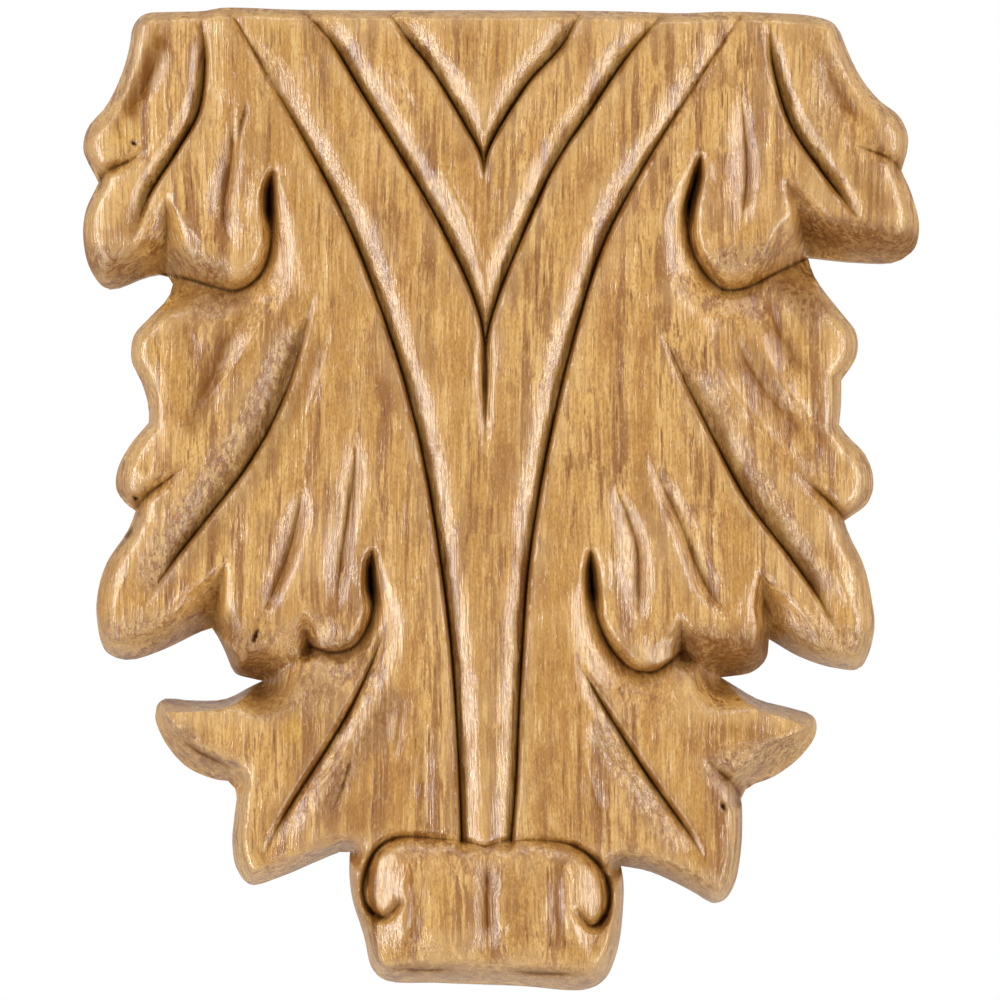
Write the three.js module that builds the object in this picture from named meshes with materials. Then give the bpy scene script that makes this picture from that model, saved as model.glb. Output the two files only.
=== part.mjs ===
// Carved wood applique: an acanthus leaf in relief over a small scroll, one solid piece of wood.
// Millimetres, +Z up. The face looks along -Y, the flat back lies in the plane Y = 0,
// and the origin is the middle of the back.
import * as THREE from "three";
import { ConvexHull } from "three/addons/math/ConvexHull.js";

// Driving sizes
const WIDTH = 129.6; // across the widest leaves
const HEIGHT = 152.4; // from the top edge to the foot of the scroll
const SIDE_THICKNESS = 13.5; // face over the back at the outer leaves
const CROWN = 3.5; // how much further the face stands out in the middle
const SCROLL_SWELL = 3; // how much the scroll stands out beyond that
const SCROLL_HALF = { across: 26, up: 11.5 }; // half the extent of that swelling
const RIM = 5.5; // square edge that is left below the undercut lobes
const SIDE_RIM = 9.5; // the same where the border is only rounded off
const TOP_RIM = 12.5; // the same along the straight top
const LEAST_WOOD = 3; // left behind the deepest cut
const ROLL_BEND = 1.7; // roundness of the border

// Depth of each kind of cut
const VEIN_DEPTH = 2.1;
const GOUGE_DEPTH = 2.5;
const FLUTE_DEPTH = 1.7;
const DROP_DEPTH = 3.6; // step from a lobe down to the leaf under it
const EYE_DEPTH = 4; // slot at the head of such a step
const CREASE_DEPTH = 1.8;
const NOTCH_DEPTH = 7; // where two lobes part at the border
const HOLLOW_DEPTH = 0.9;
const SPIRAL_DEPTH = 2.4; // round the two ends of the scroll

// The carver's sheet: x to the right and y down, in sheet units, with the leaf's own extent on it
const SHEET = { left: 84.6, right: 917.8, top: 10.8, bottom: 990.4 };
const FACETS_ACROSS = 68; // mesh steps in the width
const STEP = WIDTH / FACETS_ACROSS;

const place = ([x, y]) =>
  new THREE.Vector2(
    ((x - (SHEET.left + SHEET.right) / 2) * WIDTH) / (SHEET.right - SHEET.left),
    (((SHEET.top + SHEET.bottom) / 2 - y) * HEIGHT) / (SHEET.bottom - SHEET.top),
  );

// Border of the leaf, clockwise from the top left corner. Each run is a smooth curve that starts
// where the last one ended, in a sharp corner. Along it, roll is how far in the rounding reaches
// and rim how high the square edge stays, both as values spread evenly over the run.
const START = [133, 33];
const BORDER = [
  {
    name: "top edge",
    points: [[137, 24], [147, 16], [170, 14.5], [205, 14], [225, 11], [300, 13], [500, 13.5], [620, 14.5],
      [680, 16.5], [720, 15], [760, 15.5], [812, 18.5], [832, 25], [839, 34]],
    roll: [1.9],
    rim: [SIDE_RIM, TOP_RIM, TOP_RIM, TOP_RIM, TOP_RIM, TOP_RIM, TOP_RIM, SIDE_RIM],
  },
  {
    name: "right lobe 1",
    points: [[850, 61], [862, 83], [878, 102], [897, 117], [906, 135], [906, 150], [900, 172]],
    roll: [2.4, 2.6, 2.8, 2.4],
    rim: [SIDE_RIM],
  },
  {
    name: "right lobe 2",
    points: [[910, 195], [918, 228], [914, 249], [898, 261], [860, 262], [808, 257]],
    roll: [2.2, 2.6, 3.2, 4.4, 6, 7],
    rim: [SIDE_RIM, SIDE_RIM, RIM, RIM, RIM],
    bend: 1.2,
  },
  {
    name: "right cheek",
    points: [[815, 280], [838, 311], [855, 334], [855, 357], [840, 381]],
    roll: [2.6],
    rim: [SIDE_RIM],
  },
  { name: "right cheek foot", points: [[840, 400], [838, 425]], roll: [2.4], rim: [SIDE_RIM] },
  {
    name: "right thumb",
    points: [[845, 435], [864, 455], [872, 480], [867, 502], [843, 521]],
    roll: [2.2, 2.8, 3.2, 2.6],
    rim: [SIDE_RIM],
  },
  {
    name: "right lobe 4",
    points: [[848, 535], [862, 564], [870, 597], [873, 632], [860, 668], [835, 668], [800, 657], [769, 639]],
    roll: [2.4, 2.8, 3.2, 3, 3, 3],
    rim: [SIDE_RIM, SIDE_RIM, SIDE_RIM, RIM, RIM, RIM],
  },
  {
    name: "right lobe 5",
    points: [[766, 659], [752, 672], [721, 677.5]],
    roll: [3, 5, 5.5],
    rim: [RIM],
  },
  {
    name: "right flame",
    points: [[735, 686], [760, 700.5], [790, 708.5], [814, 717], [816, 733], [802, 755], [775, 776],
      [747, 788], [741, 799]],
    roll: [1.2, 1.4, 1.4, 2, 4.4, 6, 7, 5],
    rim: [RIM],
    bend: 1.1,
  },
  {
    name: "right lower lobe",
    points: [[741.5, 820], [740, 850], [734, 884], [724, 900], [712, 903], [700, 896], [678, 884],
      [648, 871], [621, 866]],
    roll: [2.4, 2.6, 2.8, 3, 3.2, 3.4, 3.4],
    rim: [SIDE_RIM, SIDE_RIM, RIM, RIM, RIM],
  },
  {
    name: "scroll",
    points: [[623, 880], [623, 900], [617, 950], [604, 980], [585, 989.5], [520, 986], [440, 983],
      [385, 980], [372, 968], [364, 934], [353, 898], [350, 875], [350, 852]],
    roll: [1.8, 2.2, 3, 4.4, 4.6, 4.6, 4.4, 2.6, 2, 1.8],
    rim: [SIDE_RIM, SIDE_RIM, RIM, RIM, RIM, RIM, RIM, SIDE_RIM, SIDE_RIM],
  },
  {
    name: "left lower lobe",
    points: [[344, 851], [318, 861], [280, 877], [250, 884.5], [237, 868], [233, 840], [236, 810],
      [237, 789], [228, 781]],
    roll: [3.4, 3.4, 3.4, 3, 2.8, 2.6, 2.4],
    rim: [RIM, RIM, RIM, SIDE_RIM, SIDE_RIM],
  },
  {
    name: "left flame",
    points: [[214, 779], [187, 767], [165, 742], [155, 715], [161, 700.5], [190, 701.5], [224, 700],
      [250, 687], [263, 681]],
    roll: [4, 4.4, 4.2, 3, 1.6, 1.2, 1.2, 1.2],
    rim: [RIM],
    bend: 0.9,
  },
  {
    name: "left lobe 5",
    points: [[252, 678.5], [235, 673], [227, 656], [219, 639], [212, 628]],
    roll: [6, 5, 2.4, 1.8, 1.8],
    rim: [RIM],
  },
  {
    name: "left lobe 4",
    points: [[200, 632], [160, 651], [127, 660], [106, 651], [98, 618], [100, 588], [109, 561],
      [129, 531], [137, 511]],
    roll: [5, 4.8, 4.4, 3.6, 3.2, 3, 2.6, 2.4],
    rim: [RIM, RIM, RIM, SIDE_RIM, SIDE_RIM, SIDE_RIM],
  },
  {
    name: "left thumb",
    points: [[128, 504], [118, 490], [119, 470], [131, 446], [150, 423]],
    roll: [2.8, 3, 2.6, 2.2],
    rim: [SIDE_RIM],
  },
  {
    name: "left cheek",
    points: [[150, 408], [143, 383], [133, 361], [135, 337], [152, 317], [170, 297], [172, 279], [158, 274]],
    roll: [2.4],
    rim: [SIDE_RIM],
  },
  {
    name: "left lobe 2",
    points: [[145, 276.5], [107, 288.5], [93, 273], [85, 243], [87, 213], [100, 184]],
    roll: [5.5, 5.4, 4, 2.8, 2.4, 2.2],
    rim: [RIM, RIM, SIDE_RIM, SIDE_RIM, SIDE_RIM],
  },
  {
    name: "left lobe 1",
    points: [[95, 174], [85, 152], [89, 130], [108, 107], [123, 76], [131, 48], [133, 33]],
    roll: [2.4, 2.8, 2.4, 2.2],
    rim: [SIDE_RIM],
  },
];

// Kinds of cut: depth along the path in shares of its own depth, then how far the cut reaches on its
// sharp side and on its open side, from start to end, and how those two sides bend. A bend of 1 is a
// flat slope, more is a rounded shoulder. Cuts of one layer run into each other, and layers add up.
const TOOLS = {
  vein: { layer: 0, depth: VEIN_DEPTH, along: [0.3, 1, 1, 1, 0.9], sharp: [0.7], open: [3.7],
    bends: [1.2, 1.4] },
  gouge: { layer: 0, depth: GOUGE_DEPTH, along: [0, 0.8, 1, 1, 0.9, 0], sharp: [0.8], open: [4, 6, 5, 3],
    bends: [1.3, 1.2] },
  crease: { layer: 0, depth: CREASE_DEPTH, along: [1, 0.9, 0], sharp: [1.8], open: [1.8], bends: [1.6, 1.6] },
  eye: { layer: 0, depth: EYE_DEPTH, along: [0, 0.9, 1, 0.1], sharp: [1, 1.6, 1.6], open: [1, 1.6, 1.6],
    bends: [1.4, 1.4] },
  drop: { layer: 1, depth: DROP_DEPTH, along: [0.1, 0.7, 1, 1, 1], sharp: [1.6, 2, 2.4, 2.4],
    open: [2.4, 4, 8, 8], bends: [1.6, 1.5] },
  step: { layer: 1, depth: DROP_DEPTH, along: [1], sharp: [5, 7.5, 7.5], open: [8, 5], bends: [1.3, 1.5] },
  notch: { layer: 2, depth: NOTCH_DEPTH, along: [0, 0.6, 1], sharp: [0.4, 1.6, 1.6], open: [0.4, 4, 6],
    bends: [1, 1] },
  flute: { layer: 3, depth: FLUTE_DEPTH, along: [0, 0.8, 1, 1, 0], sharp: [1.4, 2, 2, 1.6],
    open: [1.8, 3, 3.4, 2.4], bends: [1.2, 1.2] },
  hollow: { layer: 3, depth: HOLLOW_DEPTH, along: [0, 1, 1, 0], sharp: [3], open: [3], bends: [1.6, 1.6] },
  spiral: { layer: 1, depth: SPIRAL_DEPTH, along: [0.4, 0.4, 0.6, 1, 1, 1.1, 0.4], sharp: [1.8], open: [1.2],
    bends: [1.8, 1.5] },
};

// The cuts on the sheet. The sharp side is the left or the right hand of someone who walks the path,
// and the last entry is what differs from the usual cut of its kind.
const LEFT = 1;
const RIGHT = -1;
// Both veins of a chevron run on below its tip as one narrow groove, a short and a long one
const SHORT_END = { along: [0.3, 1, 1, 1, 1, 0.9, 0], open: [3.7, 3.7, 3.7, 3.7, 3.4, 1.4, 1] };
const LONG_END = {
  along: [0.3, 1, 1, 1, 1, 1, 0.9, 0.6, 0],
  open: [3.7, 3.7, 3.7, 3.7, 3.7, 3.4, 1.6, 1.3, 1],
};
const CUTS = [
  // The two chevrons and the long pair of veins that end at the scroll
  ["vein", RIGHT, [[392, 20], [412, 48], [432, 73], [450, 102], [468, 133], [482, 160], [484, 190]],
    SHORT_END],
  ["vein", LEFT, [[578, 20], [561, 50], [530, 84], [510, 114], [495, 139], [486, 160], [484, 190]],
    SHORT_END],
  ["vein", RIGHT, [[305, 16], [330, 42], [362, 94], [401, 158], [440, 226], [475, 302],
    [485, 345], [485, 460]], LONG_END],
  ["vein", LEFT, [[661, 19], [625, 62], [590, 114], [556, 165], [525, 232], [497, 302],
    [486, 345], [485, 460]], LONG_END],
  ["vein", RIGHT, [[236, 22], [270, 80], [310, 150], [349, 227], [379, 302], [406, 385], [425, 463],
    [441, 560], [452, 650], [459, 760], [462, 838]]],
  ["vein", LEFT, [[739, 20], [710, 64], [672, 122], [636, 181], [604, 243], [573, 340], [548, 445],
    [529, 560], [520, 685], [516, 780], [511, 838]]],

  // Left upper leaf
  ["gouge", LEFT, [[204, 16], [207, 70], [200, 116], [180, 152], [149, 202], [135, 245]],
    { open: [2, 3, 2.4] }],
  ["hollow", LEFT, [[163, 35], [158, 65], [148, 90], [126, 122]],
    { depth: 1.4 * HOLLOW_DEPTH, sharp: [2.4] }],
  ["crease", LEFT, [[98, 187], [110, 173], [135, 162], [155, 147]]],
  ["notch", RIGHT, [[169, 195], [169, 235], [164, 280]], { sharp: [0.4, 4, 5], open: [0.4, 3, 6.5] }],
  ["eye", LEFT, [[276, 170], [271, 190], [270, 210], [272, 234]]],
  ["drop", RIGHT, [[275, 172], [271, 200], [273, 243], [267, 268], [255, 284], [238, 292], [215, 288],
    [190, 280], [160, 274]], { sharp: [1.6, 2, 4, 5.5] }],
  ["flute", LEFT, [[236, 105], [234, 160], [226, 210], [231, 240], [242, 252]], { sharp: [1.2, 1.6, 2.6] }],

  // Left middle leaf
  ["hollow", LEFT, [[258, 292], [232, 340], [212, 385], [182, 432]], { sharp: [3.4] }],
  ["crease", LEFT, [[132, 515], [150, 495], [170, 480], [192, 463]]],
  ["gouge", LEFT, [[317, 290], [301, 352], [281, 408], [250, 465], [210, 517], [170, 569], [146, 608]]],
  ["notch", LEFT, [[229, 560], [222, 585], [210, 636]], { open: [0.4, 4.4, 6.5] }],
  ["flute", LEFT, [[306, 475], [300, 515], [290, 555], [270, 603], [258, 622]]],
  ["notch", LEFT, [[306, 608], [307, 628], [311, 650]], { depth: 0.35 * NOTCH_DEPTH, open: [0.4, 1.6, 2] }],
  ["flute", LEFT, [[355, 425], [356, 470], [350, 510], [342, 565], [338, 618]]],
  ["eye", LEFT, [[375, 546], [371, 566], [372, 590], [375, 610]]],
  ["drop", RIGHT, [[374, 548], [371, 580], [374, 605], [368, 628], [355, 646], [336, 652], [311, 646]]],
  ["step", RIGHT, [[311, 646], [293, 661], [258, 686]]],

  // Left lower leaf
  ["gouge", RIGHT, [[392, 612], [376, 655], [352, 706], [326, 750], [295, 798], [272, 838], [264, 858]],
    { sharp: [1.2, 2.6, 2, 1.2], open: [1.6, 3.4, 4, 2.4] }],

  // Right upper leaf
  ["gouge", RIGHT, [[765, 20], [771, 70], [788, 126], [818, 172], [845, 207], [860, 230]],
    { open: [2, 3, 2.4] }],
  ["hollow", LEFT, [[815, 50], [835, 95], [850, 115], [873, 132]]],
  ["crease", LEFT, [[904, 174], [885, 160], [860, 151], [842, 145]], { depth: 0.6 * CREASE_DEPTH }],
  ["notch", RIGHT, [[781, 178], [797, 215], [809, 262]]],
  ["eye", LEFT, [[700, 154], [695, 180], [688, 208], [687, 234]]],
  ["drop", LEFT, [[699, 156], [692, 195], [686, 222], [690, 250], [703, 275], [722, 291], [745, 289],
    [775, 274], [810, 257]], { sharp: [1.6, 2, 3, 4, 4] }],
  ["flute", LEFT, [[737, 85], [742, 130], [745, 180], [737, 242]]],

  // Right middle leaf
  ["hollow", LEFT, [[766, 296], [772, 326], [788, 356], [815, 384]]],
  ["hollow", LEFT, [[727, 316], [742, 360], [770, 402], [812, 448]], { depth: 1.2 * HOLLOW_DEPTH }],
  ["gouge", RIGHT, [[657, 328], [682, 380], [713, 441], [743, 497], [780, 546], [815, 595], [839, 640]]],
  ["crease", LEFT, [[848, 525], [825, 500], [805, 483], [790, 473]]],
  ["notch", RIGHT, [[758, 566], [761, 592], [769, 642]], { sharp: [0.4, 2, 2], open: [0.4, 5, 7] }],
  ["flute", RIGHT, [[646, 448], [658, 480], [677, 520], [697, 572], [712, 598], [735, 619]]],
  ["notch", RIGHT, [[678, 608], [680, 632], [680, 656]], { depth: 0.4 * NOTCH_DEPTH, open: [0.4, 2, 3] }],
  ["flute", LEFT, [[612, 480], [627, 518], [636, 548], [638, 590], [637, 632]]],
  ["eye", LEFT, [[590, 546], [590, 566], [592, 590], [595, 612]]],
  ["drop", LEFT, [[590, 548], [591, 578], [594, 608], [602, 633], [614, 653], [632, 669], [654, 670],
    [680, 652]]],
  ["step", LEFT, [[680, 652], [700, 665], [727, 682]]],

  // Right lower leaf
  ["gouge", LEFT, [[575, 658], [610, 716], [650, 778], [690, 834], [705, 860]],
    { sharp: [1.2, 2.4, 2, 1.2], open: [1.6, 3.4, 3.4, 2.2] }],
  ["crease", LEFT, [[744, 802], [732, 783], [715, 767], [697, 750]], { sharp: [3], open: [2] }],

  // Scroll at the foot: a roll with a spiral at either end and a groove in the middle
  ["spiral", RIGHT, [[485, 843], [505, 838], [545, 837], [575, 843], [598, 862], [609, 890], [604, 914],
    [591, 922], [576, 908]]],
  ["spiral", LEFT, [[485, 843], [465, 838], [435, 835], [400, 834], [382, 842], [370, 860], [364, 888],
    [370, 906], [386, 913], [403, 897]]],
  ["hollow", LEFT, [[378, 840], [370, 870], [372, 905], [386, 955]], { depth: SPIRAL_DEPTH, sharp: [5.4] }],
  ["hollow", RIGHT, [[592, 842], [605, 875], [603, 910], [588, 955]], { depth: SPIRAL_DEPTH, sharp: [5.8] }],
  ["hollow", LEFT, [[487, 836], [487, 870], [487, 910], [488, 956]],
    { depth: 1.6 * HOLLOW_DEPTH, sharp: [2.6], open: [2.4] }],
];

// Value at share s of a list of values spread evenly from 0 to 1
function along(values, s) {
  if (values.length === 1) return values[0];
  const at = Math.min(Math.max(s, 0), 1) * (values.length - 1);
  const i = Math.min(Math.floor(at), values.length - 2);
  return values[i] + (values[i + 1] - values[i]) * (at - i);
}

// A smooth line through points of the sheet, at even steps
function line(points, step) {
  const curve = new THREE.CatmullRomCurve3(
    points.map((p) => new THREE.Vector3(place(p).x, place(p).y, 0)),
    false,
    "centripetal",
  );
  curve.arcLengthDivisions = points.length * 40;
  const steps = Math.max(2, Math.round(curve.getLength() / step));
  return curve.getSpacedPoints(steps).map((p) => new THREE.Vector2(p.x, p.y));
}

// Nearest point of a line: its distance, its share of the line, and the hand on which p lies, 1 for
// left and -1 for right. Round the ends of the line the hand turns from one to the other.
function nearest(path, p) {
  let best = { distance: Infinity };
  const last = path.length - 2;
  for (let i = 0; i <= last; i++) {
    const a = path[i];
    const dx = path[i + 1].x - a.x;
    const dy = path[i + 1].y - a.y;
    const length = Math.hypot(dx, dy);
    const t = ((p.x - a.x) * dx + (p.y - a.y) * dy) / length ** 2;
    const held = Math.min(Math.max(t, 0), 1);
    const distance = Math.hypot(p.x - a.x - dx * held, p.y - a.y - dy * held);
    if (distance >= best.distance) continue;
    const across = (dx * (p.y - a.y) - dy * (p.x - a.x)) / length;
    const pastEnd = (i === 0 && t < 0) || (i === last && t > 1);
    const hand = pastEnd && distance > 0 ? across / distance : Math.sign(across) || LEFT;
    best = { distance, share: (i + held) / (last + 1), hand };
  }
  return best;
}

const border = [];
let corner = START;
for (const run of BORDER) {
  border.push({ ...run, path: line([corner, ...run.points], STEP * 0.85) });
  corner = run.points.at(-1);
}
const cuts = CUTS.map(([tool, sharpHand, points, changes]) => ({
  ...TOOLS[tool],
  ...changes,
  sharpHand,
  path: line(points, STEP),
}));
const LAYERS = 4;

// How deep all the cuts go at p
function carved(p) {
  const depths = new Array(LAYERS).fill(0);
  for (const cut of cuts) {
    const { distance, share, hand } = nearest(cut.path, p);
    const sharp = (1 + hand * cut.sharpHand) / 2;
    const reach = sharp * along(cut.sharp, share) + (1 - sharp) * along(cut.open, share);
    if (distance >= reach) continue;
    const bend = sharp * cut.bends[0] + (1 - sharp) * cut.bends[1];
    const depth = cut.depth * along(cut.along, share) * (1 - distance / reach) ** bend;
    depths[cut.layer] = Math.max(depths[cut.layer], depth);
  }
  return depths.reduce((sum, depth) => sum + depth, 0);
}

// Height of the uncut face: a flat dome, and a swelling across it where the scroll is
const SCROLL_MIDDLE = place([487, 905]);
function uncut(p) {
  const dome = CROWN * (1 - Math.min(1, Math.abs(p.x) / (WIDTH / 2)) ** 2);
  const off = Math.hypot(
    ((p.x - SCROLL_MIDDLE.x) / SCROLL_HALF.across) ** 2,
    (p.y - SCROLL_MIDDLE.y) / SCROLL_HALF.up,
  );
  return SIDE_THICKNESS + dome + SCROLL_SWELL * Math.max(0, 1 - off ** 2);
}

// Height of the finished face over the back. At the border itself that is the rim.
function surface(p) {
  const face = Math.max(uncut(p) - carved(p), LEAST_WOOD);
  let height = face;
  for (const run of border) {
    const { distance, share } = nearest(run.path, p);
    const roll = along(run.roll, share);
    if (distance >= roll) continue;
    const rim = Math.min(along(run.rim, share), face);
    const rise = 1 - (1 - distance / roll) ** (run.bend ?? ROLL_BEND);
    height = Math.min(height, rim + (face - rim) * rise);
  }
  return height;
}

// Mesh points: the border, rows along every cut and along the rounding, and an even fill
const rim = border.flatMap((run) => run.path.slice(0, -1));

function inside(p) {
  let odd = false;
  for (let i = 0, j = rim.length - 1; i < rim.length; j = i++) {
    const a = rim[i];
    const b = rim[j];
    if (a.y > p.y !== b.y > p.y && p.x < ((b.x - a.x) * (p.y - a.y)) / (b.y - a.y) + a.x) odd = !odd;
  }
  return odd;
}

// Keeps a point if it is inside and has room; the cells of a grid make the search short
const cells = new Map();
const cellKey = (x, y) => `${Math.floor(x / STEP)},${Math.floor(y / STEP)}`;
const mesh = [];
function keep(p, room) {
  for (let i = -2; i <= 2; i++)
    for (let j = -2; j <= 2; j++)
      for (const q of cells.get(cellKey(p.x + i * STEP, p.y + j * STEP)) ?? [])
        if (q.distanceTo(p) < room) return;
  mesh.push(p);
  const key = cellKey(p.x, p.y);
  if (!cells.has(key)) cells.set(key, []);
  cells.get(key).push(p);
}

// A row beside a path, on its left for a positive distance
function row(path, distanceAt) {
  return path.map((p, i) => {
    const ahead = path[Math.min(i + 1, path.length - 1)];
    const behind = path[Math.max(i - 1, 0)];
    const across = new THREE.Vector2(behind.y - ahead.y, ahead.x - behind.x).normalize();
    return p.clone().addScaledVector(across, distanceAt(i / (path.length - 1)));
  });
}

const HALF_WAY = 0.45; // where the second row beside a cut runs, as a share of its reach
const CLOSE = 0.42 * STEP; // least room round a point of a row
const LOOSE = 0.55 * STEP; // the same round a point of a second row
const FILL = 1.42 * STEP; // spacing of the fill
const FILL_ROW = (FILL * Math.sqrt(3)) / 2;
const FILL_ROOM = 0.88 * STEP;
for (const p of rim) keep(p, 0);
for (const cut of cuts) for (const p of cut.path) if (inside(p)) keep(p, CLOSE);
for (const cut of cuts)
  for (const share of [1, HALF_WAY])
    for (const [hand, reach] of [[cut.sharpHand, cut.sharp], [-cut.sharpHand, cut.open]])
      for (const p of row(cut.path, (s) => hand * share * along(reach, s)))
        if (inside(p)) keep(p, share === 1 ? CLOSE : LOOSE);
for (const run of border)
  for (const share of [1, HALF_WAY])
    for (const p of row(run.path, (s) => -share * along(run.roll, s))) if (inside(p)) keep(p, LOOSE);
for (let j = 0; j * FILL_ROW < HEIGHT; j++)
  for (let i = 0; i * FILL < WIDTH; i++) {
    const p = new THREE.Vector2(-WIDTH / 2 + (i + (j % 2) / 2) * FILL, HEIGHT / 2 - j * FILL_ROW);
    if (inside(p)) keep(p, FILL_ROOM);
  }

// Flat triangles through the points, from the lower side of the hull of the points lifted on a bowl
function triangles(points) {
  const lifted = points.map((p, i) => Object.assign(new THREE.Vector3(p.x, p.y, p.lengthSq()), { i }));
  const faces = [];
  for (const face of new ConvexHull().setFromPoints(lifted).faces) {
    if (face.normal.z > -1e-9) continue;
    const edge = face.edge;
    faces.push([edge.head().point.i, edge.prev.head().point.i, edge.next.head().point.i]);
  }
  return faces;
}

// The border has to be in the triangles: a stretch of it that is missing gets a point in its middle
let faces = triangles(mesh);
for (let missing = true; missing; ) {
  missing = false;
  const edges = new Set(faces.flatMap(([a, b, c]) => [`${a} ${b}`, `${b} ${c}`, `${c} ${a}`,
    `${b} ${a}`, `${c} ${b}`, `${a} ${c}`]));
  const index = new Map(mesh.map((p, i) => [p, i]));
  for (let i = rim.length - 1; i >= 0; i--) {
    const next = rim[(i + 1) % rim.length];
    if (edges.has(`${index.get(rim[i])} ${index.get(next)}`)) continue;
    const middle = rim[i].clone().lerp(next, 0.5);
    rim.splice(i + 1, 0, middle);
    mesh.push(middle);
    missing = true;
  }
  if (missing) faces = triangles(mesh);
}

function leaf() {
  const index = new Map(mesh.map((p, i) => [p, i]));
  const position = [];
  for (const p of mesh) position.push(p.x, p.y, surface(p));
  const firstBack = mesh.length;
  for (const p of rim) position.push(p.x, p.y, 0);

  const index3 = [];
  for (const [a, b, c] of faces) {
    const middle = mesh[a].clone().add(mesh[b]).add(mesh[c]).divideScalar(3);
    if (!inside(middle)) continue;
    const turn = mesh[b].clone().sub(mesh[a]).cross(mesh[c].clone().sub(mesh[a]));
    if (turn > 0) index3.push(a, b, c);
    else index3.push(a, c, b);
  }
  rim.forEach((p, i) => {
    const next = (i + 1) % rim.length;
    const [a, b] = [index.get(p), index.get(rim[next])];
    index3.push(a, b, firstBack + i, b, firstBack + next, firstBack + i);
  });
  for (const [a, b, c] of THREE.ShapeUtils.triangulateShape(rim, [])) {
    const turn = rim[b].clone().sub(rim[a]).cross(rim[c].clone().sub(rim[a]));
    if (turn > 0) index3.push(firstBack + a, firstBack + c, firstBack + b);
    else index3.push(firstBack + a, firstBack + b, firstBack + c);
  }

  const geometry = new THREE.BufferGeometry();
  geometry.setAttribute("position", new THREE.Float32BufferAttribute(position, 3));
  geometry.setIndex(index3);
  geometry.rotateX(Math.PI / 2);
  geometry.computeVertexNormals();
  return geometry;
}

const wood = new THREE.MeshStandardMaterial({ color: 0xcfa166, roughness: 0.42, metalness: 0 });
const carvedLeaf = new THREE.Mesh(leaf(), wood);
carvedLeaf.name = "carved_leaf";

const applique = new THREE.Group();
applique.add(carvedLeaf);
export default applique;
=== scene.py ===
# %% [markdown]
# # A carved acanthus leaf
#
# This is an applique: a leaf carved in relief from one board of honey-brown wood, with a flat back
# that is glued onto a cabinet or a mantel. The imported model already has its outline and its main
# cuts. What it lacks is what a carver's hand leaves: the fine edges beside the cuts, soft hollows,
# small ripples of the gouge, stain in the deep lines, grain and lacquer. This notebook adds them.

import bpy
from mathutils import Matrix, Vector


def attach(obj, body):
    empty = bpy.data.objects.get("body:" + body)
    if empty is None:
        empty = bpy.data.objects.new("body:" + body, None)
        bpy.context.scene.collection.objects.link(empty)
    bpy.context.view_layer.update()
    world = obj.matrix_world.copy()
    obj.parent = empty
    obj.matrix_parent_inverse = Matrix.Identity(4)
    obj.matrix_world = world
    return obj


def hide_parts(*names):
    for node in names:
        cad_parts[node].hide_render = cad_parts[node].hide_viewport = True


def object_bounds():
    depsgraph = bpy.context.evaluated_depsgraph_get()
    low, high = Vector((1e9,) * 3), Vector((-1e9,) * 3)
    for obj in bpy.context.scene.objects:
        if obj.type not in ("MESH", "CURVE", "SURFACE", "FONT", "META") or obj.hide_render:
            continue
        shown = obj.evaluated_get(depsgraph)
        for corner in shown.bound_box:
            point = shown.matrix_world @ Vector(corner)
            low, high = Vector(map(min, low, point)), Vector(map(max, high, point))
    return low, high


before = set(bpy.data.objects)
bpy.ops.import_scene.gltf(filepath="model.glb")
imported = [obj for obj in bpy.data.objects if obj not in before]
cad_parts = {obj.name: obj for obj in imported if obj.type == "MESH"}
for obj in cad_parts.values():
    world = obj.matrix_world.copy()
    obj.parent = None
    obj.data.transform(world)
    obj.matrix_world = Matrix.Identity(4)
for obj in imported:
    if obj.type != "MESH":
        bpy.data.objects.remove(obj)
cad_low, cad_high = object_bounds()
print("box of the packed model, in metres:", tuple(cad_low), tuple(cad_high))

# %% Modules for the cells below
import math

import bmesh
import bpy
import numpy as np
from mathutils.kdtree import KDTree

print("Blender", bpy.app.version_string, "with numpy", np.__version__)

# %% [markdown]
# ## The carver's sheet
#
# A carver draws the pattern on paper, glues it on the board and cuts along its lines. The sheet here
# is counted in small squares, x to the right and y down, and the leaf's own extent on it is known.
# With that, any point of the pattern can be found on the wood in millimetres from its middle.

# %% From the sheet to the wood
WIDTH, HEIGHT = 129.6, 152.4  # mm
SHEET_LEFT, SHEET_RIGHT, SHEET_TOP, SHEET_BOTTOM = 84.6, 917.8, 10.8, 990.4
SQUARE = HEIGHT / (SHEET_BOTTOM - SHEET_TOP)


def on_wood(points):
    """Sheet points, as x, y, x, y, in millimetres from the leaf's middle, x to the right and z up."""
    x, y = np.reshape(points, (-1, 2)).T
    across = (x - (SHEET_LEFT + SHEET_RIGHT) / 2) * WIDTH / (SHEET_RIGHT - SHEET_LEFT)
    up = ((SHEET_TOP + SHEET_BOTTOM) / 2 - y) * HEIGHT / (SHEET_BOTTOM - SHEET_TOP)
    return np.column_stack([across, up])


print("one square of the sheet is", round(SQUARE, 4), "mm")

# %% [markdown]
# ## The camera
#
# The leaf is seen straight from the front. A long lens keeps its sides parallel, as in a catalogue
# picture: with a short one the raised middle would look larger than the low border. The camera
# stands so far back that the picture's 1000 squares fill the frame in the plane of the border.

# %% A long lens, straight on
PICTURE_SQUARES = 1000
LENS, SENSOR = 240.0, 36.0
BORDER_PLANE = 0.0055  # metres in front of the back


def added(name, data):
    """A new object with this data, linked into the scene."""
    made = bpy.data.objects.new(name, data)
    bpy.context.scene.collection.objects.link(made)
    return made


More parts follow.
